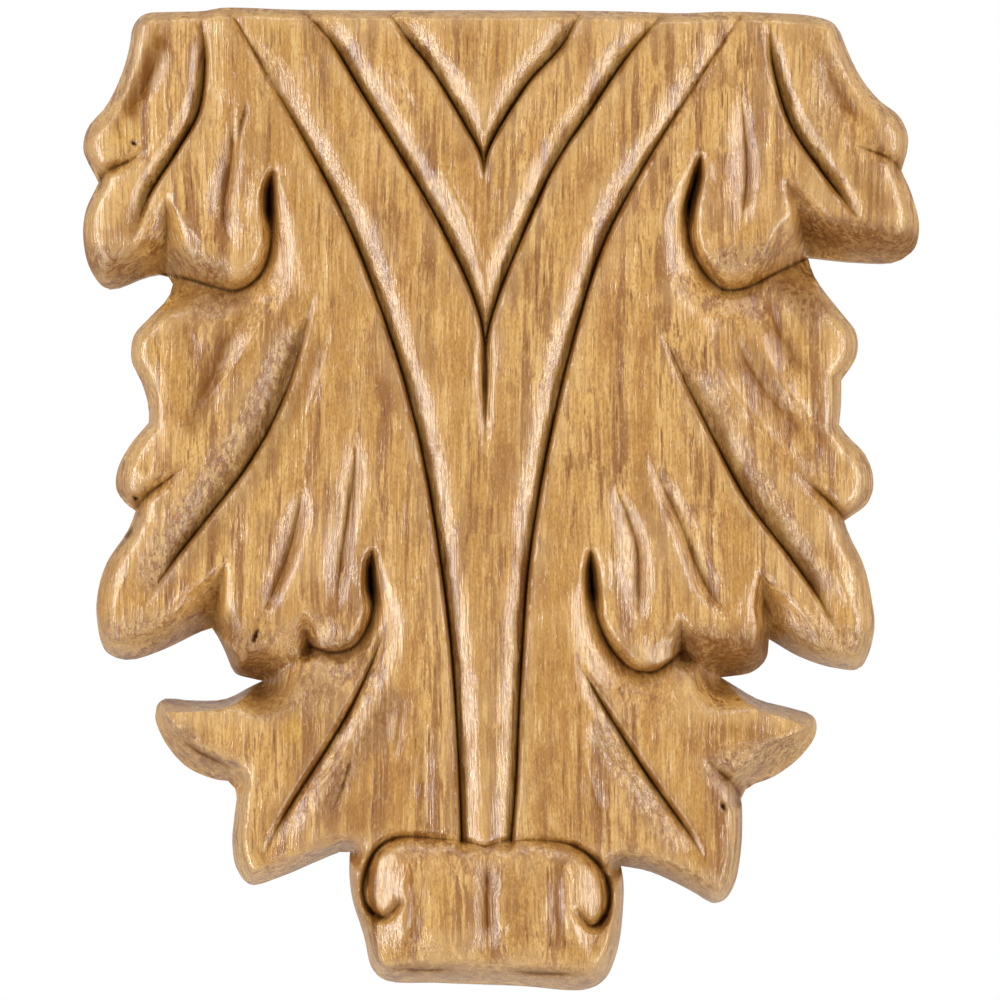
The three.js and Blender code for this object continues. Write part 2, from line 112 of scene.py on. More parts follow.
camera_data = bpy.data.cameras.new("camera")
camera_data.lens, camera_data.sensor_width = LENS, SENSOR
camera = added("camera", camera_data)
frame_width = PICTURE_SQUARES * SQUARE / 1000
aim_x, aim_z = on_wood([PICTURE_SQUARES / 2, PICTURE_SQUARES / 2])[0] / 1000
camera.location = (aim_x, -BORDER_PLANE - frame_width * LENS / SENSOR, aim_z)
camera.rotation_euler = (math.radians(90), 0, 0)
bpy.context.scene.camera = camera
print("camera stands", round(-camera.location.y, 3), "m in front")

# %% [markdown]
# ## Smooth lines
#
# Every cut and every stretch of the border is a curve through a few points of the sheet. Blender has
# curve objects for this, but here the line isn't a thing to see: it guides how deep the wood is at
# any distance from it. So the curve is worked out as plain points, close together and evenly spaced.
# Its speed follows the root of each gap, which keeps loops and kinks out of sharp bends.

# %% A smooth line through points of the sheet
CURVE_STEPS = 40


def smooth_line(points, step):
    """Evenly spaced points, in mm, of a smooth curve through points of the sheet."""
    knots = on_wood(points)
    knots = np.vstack([2 * knots[0] - knots[1], knots, 2 * knots[-1] - knots[-2]])
    t = np.linspace(0, 1, CURVE_STEPS, endpoint=False)[:, None]
    pieces = []
    for a, b, c, d in zip(knots, knots[1:], knots[2:], knots[3:]):
        before, here, after = (math.sqrt(math.dist(*ends)) for ends in ((a, b), (b, c), (c, d)))
        leave = ((b - a) / before - (c - a) / (before + here)) * here + c - b
        arrive = ((d - c) / after - (d - b) / (here + after)) * here + c - b
        bow = (3 * (c - b) - 2 * leave - arrive) * t**2 + (2 * (b - c) + leave + arrive) * t**3
        pieces.append(b + leave * t + bow)
    line = np.vstack([*pieces, knots[-2:-1]])
    run = np.concatenate([[0], np.cumsum(np.linalg.norm(np.diff(line, axis=0), axis=1))])
    even = np.linspace(0, run[-1], max(2, round(run[-1] / step)) + 1)
    return np.column_stack([np.interp(even, run, line[:, 0]), np.interp(even, run, line[:, 1])])


def along(values, share):
    """Values spread evenly over a line, read at each share of its length."""
    return np.interp(share, np.linspace(0, 1, len(values)), values)


# %% How far a point is from a line
def nearest(line, points):
    """Each point's distance to a line, the share of the line there, and the hand it lies on.

    The hand is 1 on the left and -1 on the right, and turns from one to the other round the ends.
    """
    best = np.full(len(points), np.inf)
    share, hand = np.zeros(len(points)), np.ones(len(points))
    last = len(line) - 2
    for i, (start, end) in enumerate(zip(line, line[1:])):
        ahead = end - start
        length = np.hypot(*ahead)
        off = points - start
        t = off @ ahead / length**2
        held = np.clip(t, 0, 1)
        gap = np.hypot(off[:, 0] - ahead[0] * held, off[:, 1] - ahead[1] * held)
        across = (ahead[0] * off[:, 1] - ahead[1] * off[:, 0]) / length
        past_end = ((i == 0) & (t < 0)) | ((i == last) & (t > 1))
        side = np.where(past_end, across / np.maximum(gap, 1e-9), np.where(across >= 0, 1, -1))
        closer = gap < best
        best[closer], share[closer], hand[closer] = gap[closer], (i + held[closer]) / (last + 1), side[closer]
    return best, share, hand


def near_box(line, points, reach):
    """Numbers of the points inside the box round a line, with a margin."""
    low, high = line.min(0) - reach, line.max(0) + reach
    return np.nonzero(((points > low) & (points < high)).all(1))[0]


print("a test line of", len(smooth_line([100, 100, 200, 150, 300, 100], 1.0)), "points")

# %% [markdown]
# ## The pattern
#
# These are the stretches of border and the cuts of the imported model, once more. The border runs
# clockwise from the top left corner; each stretch starts in a sharp corner where the last one ended.
# Its roll is how far in the rounding reaches, and its rim how high the square edge stays. The points
# of a line follow one another as x, y, x, y.

# %% Sizes of the wood, in mm
SIDE_THICKNESS, CROWN = 13.5, 3.5
SCROLL_SWELL, SCROLL_ACROSS, SCROLL_UP = 3.0, 26.0, 11.5
RIM, SIDE_RIM, TOP_RIM, LEAST_WOOD, ROLL_BEND = 5.5, 9.5, 12.5, 3.0, 1.7
VEIN_DEPTH, GOUGE_DEPTH, FLUTE_DEPTH, DROP_DEPTH, EYE_DEPTH = 2.1, 2.5, 1.7, 3.6, 4.0
CREASE_DEPTH, NOTCH_DEPTH, HOLLOW_DEPTH, SPIRAL_DEPTH = 1.8, 7.0, 0.9, 2.4
print("thickest at the scroll:", SIDE_THICKNESS + CROWN + SCROLL_SWELL, "mm")

# %% The border
START = [133, 33]
BORDER = [
    dict(  # top edge
        points=[137, 24, 147, 16, 170, 14.5, 205, 14, 225, 11, 300, 13, 500, 13.5, 620, 14.5,
            680, 16.5, 720, 15, 760, 15.5, 812, 18.5, 832, 25, 839, 34],
        roll=[1.9], rim=[SIDE_RIM, TOP_RIM, TOP_RIM, TOP_RIM, TOP_RIM, TOP_RIM, TOP_RIM, SIDE_RIM],
    ),
    dict(  # right lobe 1
        points=[850, 61, 862, 83, 878, 102, 897, 117, 906, 135, 906, 150, 900, 172],
        roll=[2.4, 2.6, 2.8, 2.4], rim=[SIDE_RIM],
    ),
    dict(  # right lobe 2
        points=[910, 195, 918, 228, 914, 249, 898, 261, 860, 262, 808, 257],
        roll=[2.2, 2.6, 3.2, 4.4, 6, 7], rim=[SIDE_RIM, SIDE_RIM, RIM, RIM, RIM], bend=1.2,
    ),
    dict(  # right cheek
        points=[815, 280, 838, 311, 855, 334, 855, 357, 840, 381],
        roll=[2.6], rim=[SIDE_RIM],
    ),
    dict(points=[840, 400, 838, 425], roll=[2.4], rim=[SIDE_RIM]),  # right cheek foot
    dict(  # right thumb
        points=[845, 435, 864, 455, 872, 480, 867, 502, 843, 521],
        roll=[2.2, 2.8, 3.2, 2.6], rim=[SIDE_RIM],
    ),
    dict(  # right lobe 4
        points=[848, 535, 862, 564, 870, 597, 873, 632, 860, 668, 835, 668, 800, 657, 769, 639],
        roll=[2.4, 2.8, 3.2, 3, 3, 3], rim=[SIDE_RIM, SIDE_RIM, SIDE_RIM, RIM, RIM, RIM],
    ),
    dict(points=[766, 659, 752, 672, 721, 677.5], roll=[3, 5, 5.5], rim=[RIM]),  # right lobe 5
    dict(  # right flame
        points=[735, 686, 760, 700.5, 790, 708.5, 814, 717, 816, 733, 802, 755, 775, 776,
            747, 788, 741, 799],
        roll=[1.2, 1.4, 1.4, 2, 4.4, 6, 5, 2.4], rim=[RIM], bend=1.1,
    ),
    dict(  # right lower lobe
        points=[741.5, 820, 740, 850, 734, 884, 724, 900, 712, 903, 700, 896, 678, 884, 648, 871, 621, 866],
        roll=[2.4, 2.6, 2.8, 3, 3.2, 3.4, 3.4], rim=[SIDE_RIM, SIDE_RIM, RIM, RIM, RIM],
    ),
    dict(  # scroll
        points=[623, 880, 623, 900, 617, 950, 604, 980, 585, 989.5, 520, 986, 440, 983,
            385, 980, 372, 968, 364, 934, 353, 898, 350, 875, 350, 852],
        roll=[1.8, 2.2, 3, 4.4, 4.6, 4.6, 4.4, 2.6, 2, 1.8],
        rim=[SIDE_RIM, SIDE_RIM, RIM, RIM, RIM, RIM, RIM, SIDE_RIM, SIDE_RIM],
    ),
    dict(  # left lower lobe
        points=[344, 851, 318, 861, 280, 877, 250, 884.5, 237, 868, 233, 840, 236, 810, 237, 789, 228, 781],
        roll=[3.4, 3.4, 3.4, 3, 2.8, 2.6, 2.4], rim=[RIM, RIM, RIM, SIDE_RIM, SIDE_RIM],
    ),
    dict(  # left flame
        points=[214, 779, 187, 767, 165, 742, 155, 715, 161, 700.5, 190, 701.5, 224, 700,
            250, 687, 263, 681],
        roll=[4, 4.4, 4.2, 3, 1.6, 1.2, 1.2, 1.2], rim=[RIM], bend=0.9,
    ),
    dict(  # left lobe 5
        points=[252, 678.5, 235, 673, 227, 656, 219, 639, 212, 628],
        roll=[6, 5, 2.4, 1.8, 1.8], rim=[RIM],
    ),
    dict(  # left lobe 4
        points=[200, 632, 160, 651, 127, 660, 106, 651, 98, 618, 100, 588, 109, 561, 129, 531, 137, 511],
        roll=[5, 4.8, 4.4, 3.6, 3.2, 3, 2.6, 2.4], rim=[RIM, RIM, RIM, SIDE_RIM, SIDE_RIM, SIDE_RIM],
    ),
    dict(  # left thumb
        points=[128, 504, 118, 490, 119, 470, 131, 446, 150, 423],
        roll=[2.8, 3, 2.6, 2.2], rim=[SIDE_RIM],
    ),
    dict(  # left cheek
        points=[150, 408, 143, 383, 133, 361, 135, 337, 152, 317, 170, 297, 172, 279, 158, 274],
        roll=[2.4], rim=[SIDE_RIM],
    ),
    dict(  # left lobe 2
        points=[145, 276.5, 107, 288.5, 93, 273, 85, 243, 87, 213, 100, 184],
        roll=[5.5, 5.4, 4, 2.8, 2.4, 2.2], rim=[RIM, RIM, SIDE_RIM, SIDE_RIM, SIDE_RIM],
    ),
    dict(  # left lobe 1
        points=[95, 174, 85, 152, 89, 130, 108, 107, 123, 76, 131, 48, 133, 33],
        roll=[2.4, 2.8, 2.4, 2.2], rim=[SIDE_RIM],
    ),
]

# %% The kinds of cut
# Depth along the line in shares of the full depth, then the reach on the sharp and the open side,
# from start to end, and how those sides bend. Cuts of one layer don't add up; layers do.
TOOLS = dict(
    vein=dict(layer=0, depth=VEIN_DEPTH, along=[0.3, 1, 1, 1, 0.9], sharp=[0.7], open=[3.7],
        bends=[1.2, 1.4]),
    gouge=dict(layer=0, depth=GOUGE_DEPTH, along=[0, 0.8, 1, 1, 0.9, 0], sharp=[0.8], open=[4, 6, 5, 3],
        bends=[1.3, 1.2]),
    crease=dict(layer=0, depth=CREASE_DEPTH, along=[1, 0.9, 0], sharp=[1.8], open=[1.8], bends=[1.6, 1.6]),
    eye=dict(layer=0, depth=EYE_DEPTH, along=[0, 0.9, 1, 0.1], sharp=[1, 1.6, 1.6], open=[1, 1.6, 1.6],
        bends=[1.4, 1.4]),
    drop=dict(layer=1, depth=DROP_DEPTH, along=[0.1, 0.7, 1, 1, 1], sharp=[1.6, 2, 2.4, 2.4],
        open=[2.4, 4, 8, 8], bends=[1.6, 1.5]),
    step=dict(layer=1, depth=DROP_DEPTH, along=[1], sharp=[5, 7.5, 7.5], open=[8, 5], bends=[1.3, 1.5]),
    notch=dict(layer=2, depth=NOTCH_DEPTH, along=[0, 0.6, 1], sharp=[0.4, 1.6, 1.6], open=[0.4, 4, 6],
        bends=[1, 1]),
    flute=dict(layer=3, depth=FLUTE_DEPTH, along=[0, 0.8, 1, 1, 0], sharp=[1.4, 2, 2, 1.6],
        open=[1.8, 3, 3.4, 2.4], bends=[1.2, 1.2]),
    hollow=dict(layer=3, depth=HOLLOW_DEPTH, along=[0, 1, 1, 0], sharp=[3], open=[3], bends=[1.6, 1.6]),
    spiral=dict(layer=1, depth=SPIRAL_DEPTH, along=[0.4, 0.4, 0.6, 1, 1, 1.1, 0.4], sharp=[1.8], open=[1.2],
        bends=[1.8, 1.5]),
)

# %% The cuts
# The sharp side is the left or the right hand of someone who walks the line.
LEFT, RIGHT = 1, -1
# Both veins of a chevron run on below its tip as one narrow groove, a short and a long one
SHORT_END = dict(along=[0.3, 1, 1, 1, 1, 0.9, 0], open=[3.7, 3.7, 3.7, 3.7, 3.4, 1.4, 1])
LONG_END = dict(along=[0.3, 1, 1, 1, 1, 1, 0.9, 0.6, 0], open=[3.7, 3.7, 3.7, 3.7, 3.7, 3.4, 1.6, 1.3, 1])
CUTS = [
    # The two chevrons and the long pair of veins that end at the scroll
    ["vein", RIGHT, [392, 20, 412, 48, 432, 73, 450, 102, 468, 133, 482, 160, 484, 190], SHORT_END],
    ["vein", LEFT, [578, 20, 561, 50, 530, 84, 510, 114, 495, 139, 486, 160, 484, 190], SHORT_END],
    ["vein", RIGHT, [305, 16, 330, 42, 362, 94, 401, 158, 440, 226, 475, 302,
        485, 345, 485, 460], LONG_END],
    ["vein", LEFT, [661, 19, 625, 62, 590, 114, 556, 165, 525, 232, 497, 302,
        486, 345, 485, 460], LONG_END],
    ["vein", RIGHT, [236, 22, 270, 80, 310, 150, 349, 227, 379, 302, 406, 385, 425, 463,
        441, 560, 452, 650, 459, 760, 462, 838]],
    ["vein", LEFT, [739, 20, 710, 64, 672, 122, 636, 181, 604, 243, 573, 340, 548, 445,
        529, 560, 520, 685, 516, 780, 511, 838]],

    # Left upper leaf
    ["gouge", LEFT, [204, 16, 207, 70, 200, 116, 180, 152, 149, 202, 135, 245], dict(open=[2, 3, 2.4])],
    ["hollow", LEFT, [163, 35, 158, 65, 148, 90, 126, 122], dict(depth=1.4 * HOLLOW_DEPTH, sharp=[2.4])],
    ["crease", LEFT, [98, 187, 110, 173, 135, 162, 155, 147]],
    ["notch", RIGHT, [169, 195, 169, 235, 164, 280], dict(sharp=[0.4, 4, 5], open=[0.4, 3, 6.5])],
    ["eye", LEFT, [276, 170, 271, 190, 270, 210, 272, 234]],
    ["drop", RIGHT, [275, 172, 271, 200, 273, 243, 267, 268, 255, 284, 238, 292, 215, 288,
        190, 280, 160, 274], dict(sharp=[1.6, 2, 4, 5.5])],
    ["flute", LEFT, [236, 105, 234, 160, 226, 210, 231, 240, 242, 252], dict(sharp=[1.2, 1.6, 2.6])],

    # Left middle leaf
    ["hollow", LEFT, [258, 292, 232, 340, 212, 385, 182, 432], dict(sharp=[3.4])],
    ["crease", LEFT, [132, 515, 150, 495, 170, 480, 192, 463]],
    ["gouge", LEFT, [317, 290, 301, 352, 281, 408, 250, 465, 210, 517, 170, 569, 146, 608]],
    ["notch", LEFT, [229, 560, 222, 585, 210, 636], dict(open=[0.4, 4.4, 6.5])],
    ["flute", LEFT, [306, 475, 300, 515, 290, 555, 270, 603, 258, 622]],
    ["notch", LEFT, [306, 608, 307, 628, 311, 650], dict(depth=0.35 * NOTCH_DEPTH, open=[0.4, 1.6, 2])],
    ["flute", LEFT, [355, 425, 356, 470, 350, 510, 342, 565, 338, 618]],
    ["eye", LEFT, [375, 546, 371, 566, 372, 590, 375, 610]],
    ["drop", RIGHT, [374, 548, 371, 580, 374, 605, 368, 628, 355, 646, 336, 652, 311, 646]],
    ["step", RIGHT, [311, 646, 293, 661, 258, 686]],

    # Left lower leaf
    ["gouge", RIGHT, [392, 612, 376, 655, 352, 706, 326, 750, 295, 798, 272, 838, 264, 858],
        dict(depth=0.7 * GOUGE_DEPTH, sharp=[0.8, 1.2, 1.2, 0.8], open=[1.6, 3.4, 4, 2.4])],

    # Right upper leaf
    ["gouge", RIGHT, [765, 20, 771, 70, 788, 126, 818, 172, 845, 207, 860, 230], dict(open=[2, 3, 2.4])],
    ["hollow", LEFT, [815, 50, 835, 95, 850, 115, 873, 132]],
    ["crease", LEFT, [904, 174, 885, 160, 860, 151, 842, 145], dict(depth=0.6 * CREASE_DEPTH)],
    ["notch", RIGHT, [781, 178, 797, 215, 809, 262]],
    ["eye", LEFT, [700, 154, 695, 180, 688, 208, 687, 234]],
    ["drop", LEFT, [699, 156, 692, 195, 686, 222, 690, 250, 703, 275, 722, 291, 745, 289,
        775, 274, 810, 257], dict(sharp=[1.6, 2, 3, 4, 4])],
    ["flute", LEFT, [737, 85, 742, 130, 745, 180, 737, 242]],

    # Right middle leaf
    ["hollow", LEFT, [766, 296, 772, 326, 788, 356, 815, 384]],
    ["hollow", LEFT, [727, 316, 742, 360, 770, 402, 812, 448], dict(depth=1.2 * HOLLOW_DEPTH)],
    ["gouge", RIGHT, [657, 328, 682, 380, 713, 441, 743, 497, 780, 546, 815, 595, 839, 640]],
    ["crease", LEFT, [848, 525, 825, 500, 805, 483, 790, 473]],
    ["notch", RIGHT, [758, 566, 761, 592, 769, 642], dict(sharp=[0.4, 2, 2], open=[0.4, 5, 7])],
    ["flute", RIGHT, [646, 448, 658, 480, 677, 520, 697, 572, 712, 598, 735, 619]],
    ["notch", RIGHT, [678, 608, 680, 632, 680, 656], dict(depth=0.4 * NOTCH_DEPTH, open=[0.4, 2, 3])],
    ["flute", LEFT, [612, 480, 627, 518, 636, 548, 638, 590, 637, 632]],
    ["eye", LEFT, [590, 546, 590, 566, 592, 590, 595, 612]],
    ["drop", LEFT, [590, 548, 591, 578, 594, 608, 602, 633, 614, 653, 632, 669, 654, 670, 680, 652]],
    ["step", LEFT, [680, 652, 700, 665, 727, 682]],

    # Right lower leaf
    ["gouge", LEFT, [575, 658, 610, 716, 650, 778, 690, 834, 705, 860],
        dict(depth=0.7 * GOUGE_DEPTH, sharp=[0.8, 1.1, 1.1, 0.8], open=[1.6, 3.4, 3.4, 2.2])],
    ["crease", LEFT, [744, 802, 732, 783, 715, 767, 697, 750], dict(sharp=[3], open=[2])],

    # Scroll at the foot: a roll with a spiral at either end and a groove in the middle
    ["spiral", RIGHT, [485, 843, 505, 838, 545, 837, 575, 843, 598, 862, 609, 890, 604, 914,
        591, 922, 576, 908]],
    ["spiral", LEFT, [485, 843, 465, 838, 435, 835, 400, 834, 382, 842, 370, 860, 364, 888,
        370, 906, 386, 913, 403, 897]],
    ["hollow", LEFT, [378, 840, 370, 870, 372, 905, 386, 955], dict(depth=SPIRAL_DEPTH, sharp=[5.4])],
    ["hollow", RIGHT, [592, 842, 605, 875, 603, 910, 588, 955], dict(depth=SPIRAL_DEPTH, sharp=[5.8])],
    ["hollow", LEFT, [487, 836, 487, 870, 487, 910, 488, 956],
        dict(depth=1.6 * HOLLOW_DEPTH, sharp=[2.6], open=[2.4])],
]

print("the pattern has", len(BORDER), "stretches of border and", len(CUTS), "cuts")

# %% [markdown]
# ## What the carver's hand adds
#
# Beside the main cuts the wood shows thin raised edges, called arrises, where two strokes of the
# gouge meet, small scoops, fine knife lines, chips and worm holes. They are too fine for a solid
# model, but they catch the light and make the leaf look carved. They are listed by kind, with a depth
# below zero for an arris, because it stands up from the face.

# %% Fine strokes
# These have no layer: what they take or leave adds up.
TOOLS.update(
    arris=dict(depth=-0.45, along=[0.2, 1, 1, 0.2], sharp=[1.1], open=[1.5], bends=[1.4, 1.6]),
    scoop=dict(depth=0.6, along=[0.2, 1, 1, 0.2], sharp=[2.2], open=[2.2], bends=[1.2, 1.2]),
    knife=dict(depth=0.55, along=[0.1, 1, 1, 0.1], sharp=[0.7], open=[0.9], bends=[1.2, 1.2]),
    chip=dict(depth=0.7, along=[0.6, 1, 0.6], sharp=[0.5], open=[0.5], bends=[1, 1]),
)
TOOLS["low_arris"] = {**TOOLS["arris"], "depth": -0.25}
FINE_STROKES = dict(
    chip=[
        [135, 145, 137, 147, 139, 147], [136, 497, 138, 499, 140, 499],
        [133, 527, 131, 531, 128, 537], [256, 640, 258, 635, 260, 629], [719, 801, 721, 804, 722, 806],
    ],
    arris=[
        # Between the veins
        [383, 65, 400, 90, 410, 105, 417, 125], [433, 155, 462, 210, 477, 260, 480, 290],
        # Upper leaves
        [195, 105, 184, 132, 165, 160], [158, 210, 150, 225, 142, 243],
        [178, 208, 190, 225, 205, 243, 212, 262],
        [268, 177, 260, 190, 257, 205, 257, 220, 262, 240, 255, 265],
        [277, 177, 283, 185, 290, 205], [788, 107, 800, 132, 815, 155],
        [783, 181, 800, 215, 830, 225, 860, 235, 905, 248],
        [690, 165, 680, 182, 670, 200, 665, 215], [701, 158, 705, 170, 711, 190],
        [697, 230, 705, 258, 717, 272], [745, 268, 755, 260, 763, 250, 775, 225],
        # Middle leaves
        [318, 310, 308, 350, 288, 410], [137, 558, 128, 580, 120, 600, 117, 620],
        [215, 575, 200, 584, 187, 593, 178, 603, 172, 618], [236, 580, 238, 600, 239, 620],
        [377, 547, 383, 560, 388, 572, 392, 588], [365, 560, 362, 575, 363, 590],
        [312, 625, 330, 640, 350, 640, 362, 620, 365, 590],
        [700, 322, 725, 380, 762, 430, 800, 470], [748, 318, 770, 368, 800, 410, 826, 440],
        [276, 307, 239, 363, 192, 425], [336, 330, 322, 380, 300, 440],
        [830, 550, 838, 575, 845, 595, 850, 615], [585, 545, 580, 565, 577, 590],
        [600, 550, 605, 560, 606, 580, 602, 598], [602, 605, 605, 620, 612, 632, 620, 645],
        [750, 572, 744, 600, 740, 628], [761, 574, 793, 606, 828, 640],
        [674, 620, 666, 632, 655, 643], [686, 623, 712, 636, 735, 631, 746, 618],
        # Lower leaves
        [175, 712, 195, 738, 222, 748, 256, 750],
        [258, 752, 258, 770, 250, 800, 248, 820, 249, 845, 255, 862],
        [360, 715, 352, 735, 343, 755, 333, 770, 305, 800],
        [260, 862, 290, 853, 330, 842, 355, 830], [590, 700, 600, 740, 620, 770, 640, 790],
        [690, 735, 711, 744, 749, 743, 776, 737, 798, 718], [719, 812, 724, 830, 725, 880],
        [610, 845, 640, 855, 670, 868, 700, 885],
        # Scroll
        [406, 858, 407, 900, 403, 945], [566, 855, 566, 900, 573, 925, 583, 945],
        [499, 880, 503, 910, 502, 940],
    ],
    low_arris=[
        [151, 347, 160, 355, 166, 368, 168, 382, 173, 400, 173, 413],
        [137, 463, 143, 473, 150, 478, 157, 474, 161, 468],
    ],
    scoop=[
        [420, 720, 424, 760, 422, 800, 425, 828], [403, 690, 400, 720, 392, 760],
        [187, 330, 195, 350, 190, 380], [582, 745, 588, 775, 596, 802, 604, 824],
        [418, 870, 417, 905, 412, 940], [556, 868, 555, 905, 560, 940],
    ],
    knife=[
        [250, 100, 247, 115, 242, 135, 240, 150], [180, 735, 200, 750, 220, 760, 235, 768],
        [355, 740, 350, 765, 338, 800, 330, 812], [505, 966, 540, 969, 582, 969],
        [390, 964, 420, 966, 460, 965],
    ],
)
FINE_CUTS = [[name, LEFT, knots] for name, strokes in FINE_STROKES.items() for knots in strokes]
print(len(FINE_CUTS), "fine strokes")

# %% [markdown]
# ## How deep each stroke goes
#
# A stroke is deepest on its line and runs out at its reach, steeply on the sharp side and gently on
# the open one. Where strokes of one layer meet, the deeper one wins; layers add up, as a flute goes
# on down a step. The same sum gives the dark and the brown of the cuts, partly stain and partly
# painted shade: nearly black on the line itself, and brown beside it, all the way up the steep side,
# which lies in shade and which a cloth can't wipe clean.

# %% Depth of the strokes, and their stain and painted shade
LAYERS = 4
LINE_STEP, BORDER_STEP = 0.38, 0.48  # mm between the points of a cut and of the border
LINE_WIDTH, FAINT_WIDTH = 0.27, 0.4  # mm of the dark line, and the share of it where a cut runs out
# The steep side of a cut lies in shade: the brown painted up it is painted shade as well as stain
STEEP_REACH, STEEP_MOST = 1.35, 1.3  # brown of the steep side: in shares of its reach, and mm at most
STEEP_BROWN = 0.85  # and how brown it is at least, in shares of the line's dark
# For each kind of cut, in stain and painted shade: how dark its line gets, how brown the wood beside it, and
# over how many mm
STAIN_AND_SHADE = dict(
    vein=(1, 0.3, 0.4), gouge=(1, 0.4, 0.7), crease=(0.5, 0.7, 1.1), eye=(1, 1, 1.1), drop=(0.8, 0.7, 1),
    step=(0.1, 0.3, 2), notch=(0.3, 0.6, 2), spiral=(0.7, 0.4, 0.6), flute=(0.25, 0.5, 0.9),
    hollow=(0, 0.8, 1.7), arris=(0, 0, 1), low_arris=(0, 0, 1), scoop=(0, 0.4, 1.6),
    knife=(0.5, 0.6, 0.6), chip=(1.4, 0.4, 0.4),
)


def stroke(row, points):
    """One stroke: the points it touches, its depth there, its tool, and the stain and painted shade it
    leaves.
    """
    name, sharp_hand, knots, *changes = row
    tool = {**TOOLS[name], **(changes[0] if changes else {})}
    line = smooth_line(knots, LINE_STEP)
    here = near_box(line, points, max(tool["sharp"] + tool["open"]))
    gap, share, hand = nearest(line, points[here])
    sharp = (1 + hand * sharp_hand) / 2
    reach = sharp * along(tool["sharp"], share) + (1 - sharp) * along(tool["open"], share)
    bend = sharp * tool["bends"][0] + (1 - sharp) * tool["bends"][1]
    pressed = along(tool["along"], share)
    depth = tool["depth"] * pressed * np.clip(1 - gap / reach, 0, 1) ** bend
    dark, brown, brown_width = STAIN_AND_SHADE[name]
    line_width = LINE_WIDTH * (FAINT_WIDTH + (1 - FAINT_WIDTH) * pressed)
    stain_and_shade = dark * pressed * np.exp(-((gap / line_width) ** 2))
    steep = sharp > 0.5
    fringe_width = np.where(steep, np.minimum(STEEP_REACH * reach, STEEP_MOST), brown_width)
    fringe_brown = np.where(steep, max(brown, STEEP_BROWN * dark), brown)
    fringe = fringe_brown * pressed * np.exp(-((gap / fringe_width) ** 2))
    return here, tool, depth, stain_and_shade, fringe


def carve(points):
    """Depth of the main cuts and of the fine strokes, and how dark and how brown they leave the wood, in
    stain and painted shade.
    """
    layers = np.zeros((LAYERS, len(points)))
    fine, dark, brown = (np.zeros(len(points)) for _ in range(3))
    for row in CUTS + FINE_CUTS:
        here, tool, depth, stain_and_shade, fringe = stroke(row, points)
        if "layer" in tool:
            layers[tool["layer"], here] = np.maximum(layers[tool["layer"], here], depth)
        else:
            fine[here] += depth
        dark[here], brown[here] = np.maximum(dark[here], stain_and_shade), np.maximum(brown[here], fringe)
    return layers.sum(0), fine, dark, brown


# %% [markdown]
# ## Ripples of the gouge
#
# No hand-cut face is quite even. Broad swells and small ripples break the highlights up, and here and
# there the gouge tore the grain. All are sums of waves in random directions, drawn from a fixed seed
# so that each run gives the same wood. At the border they fade out, so the outline stays crisp.

# %% Waves from a fixed seed
def waves(points, lengths, count, seed):
    """A soft random pattern between about -1 and 1, from waves of the given lengths in mm."""
    draw = np.random.default_rng(seed)
    total = np.zeros(len(points))
    wave_lengths = draw.uniform(*lengths, count)
    angles, phases = (draw.uniform(0, 2 * math.pi, count) for _ in range(2))
    for length, angle, phase in zip(wave_lengths, angles, phases):
        way = points @ (math.cos(angle), math.sin(angle))
        total += np.sin(way * 2 * math.pi / length + phase)
    return total / math.sqrt(count)


# Places on the sheet where the grain was torn instead of cut: the two ends of each, how wide it is,
# how torn it is, and how brown it is painted there, partly stain and partly painted shade
TORN = [
    # Undersides of the lobes
    [810, 232, 905, 246, 17, 1, 0.8], [228, 640, 262, 668, 26, 1, 0.6], [690, 648, 752, 652, 24, 1, 0.8],
    [180, 262, 215, 276, 15, 1, 0.5], [720, 262, 760, 256, 13, 1, 0.3], [318, 648, 352, 644, 10, 1, 0.4],
    [100, 262, 130, 270, 17, 1, 0.4], [120, 630, 160, 624, 16, 0.8, 0.2], [800, 640, 850, 640, 16, 0.8, 0.3],
    # Banks of the long gouge cuts
    [288, 345, 248, 430, 15, 1, 0.1], [238, 440, 152, 575, 16, 1, 0.1], [706, 380, 745, 455, 10, 0.5, 0],
    [756, 475, 826, 590, 10, 0.6, 0], [392, 700, 330, 800, 13, 0.8, 0.5], [596, 730, 670, 840, 12, 0.8, 0],
    # Faces of the flames and other rough places
    [715, 768, 785, 745, 16, 1, 0.1], [185, 735, 215, 760, 14, 0.8, 0.2], [822, 70, 822, 140, 16, 0.6, 0.1],
    [620, 852, 700, 880, 14, 0.8, 0.2], [785, 292, 812, 312, 16, 1, 0.7], [200, 306, 240, 300, 14, 0.7, 0.5],
    [270, 700, 320, 690, 20, 0.6, 0.4], [395, 964, 590, 970, 10, 0.6, 0],
    # Hollows painted brown: stain and painted shade
    [162, 48, 134, 112, 11, 0.3, 1], [228, 344, 194, 424, 11, 0.3, 0.8], [744, 345, 772, 398, 9, 0.2, 0.5],
    [320, 352, 268, 462, 11, 0.3, 0.45], [262, 470, 190, 560, 11, 0.3, 0.35],
    [640, 470, 652, 530, 9, 0.2, 0.3], [850, 170, 880, 205, 10, 0.2, 0.5],
]
# Spots where the lacquer turned yellow: middle and half widths
YELLOWED = [
    [272, 36, 22, 13], [128, 137, 24, 13], [300, 726, 20, 24], [690, 866, 16, 12], [728, 862, 12, 16],
    [196, 250, 12, 8],
]
TORN_REACH, TORN_EDGE = 2, 3  # how far past its width a place is looked at, and how crisp its edge is


def torn_grain(points):
    """How torn the wood is at each point, and how brown it is painted there, stain and painted shade, from 0
    to 1.
    """
    torn, brown = np.zeros(len(points)), np.zeros(len(points))
    for x0, y0, x1, y1, width, tear, stain_and_shade in TORN:
        reach = width * SQUARE
        ends = on_wood([x0, y0, x1, y1])
        here = near_box(ends, points, TORN_REACH * reach)
        share = np.exp(-((nearest(ends, points[here])[0] / reach) ** TORN_EDGE))
        torn[here] = np.maximum(torn[here], tear * share)
        brown[here] = np.maximum(brown[here], stain_and_shade * share)
    return torn, brown


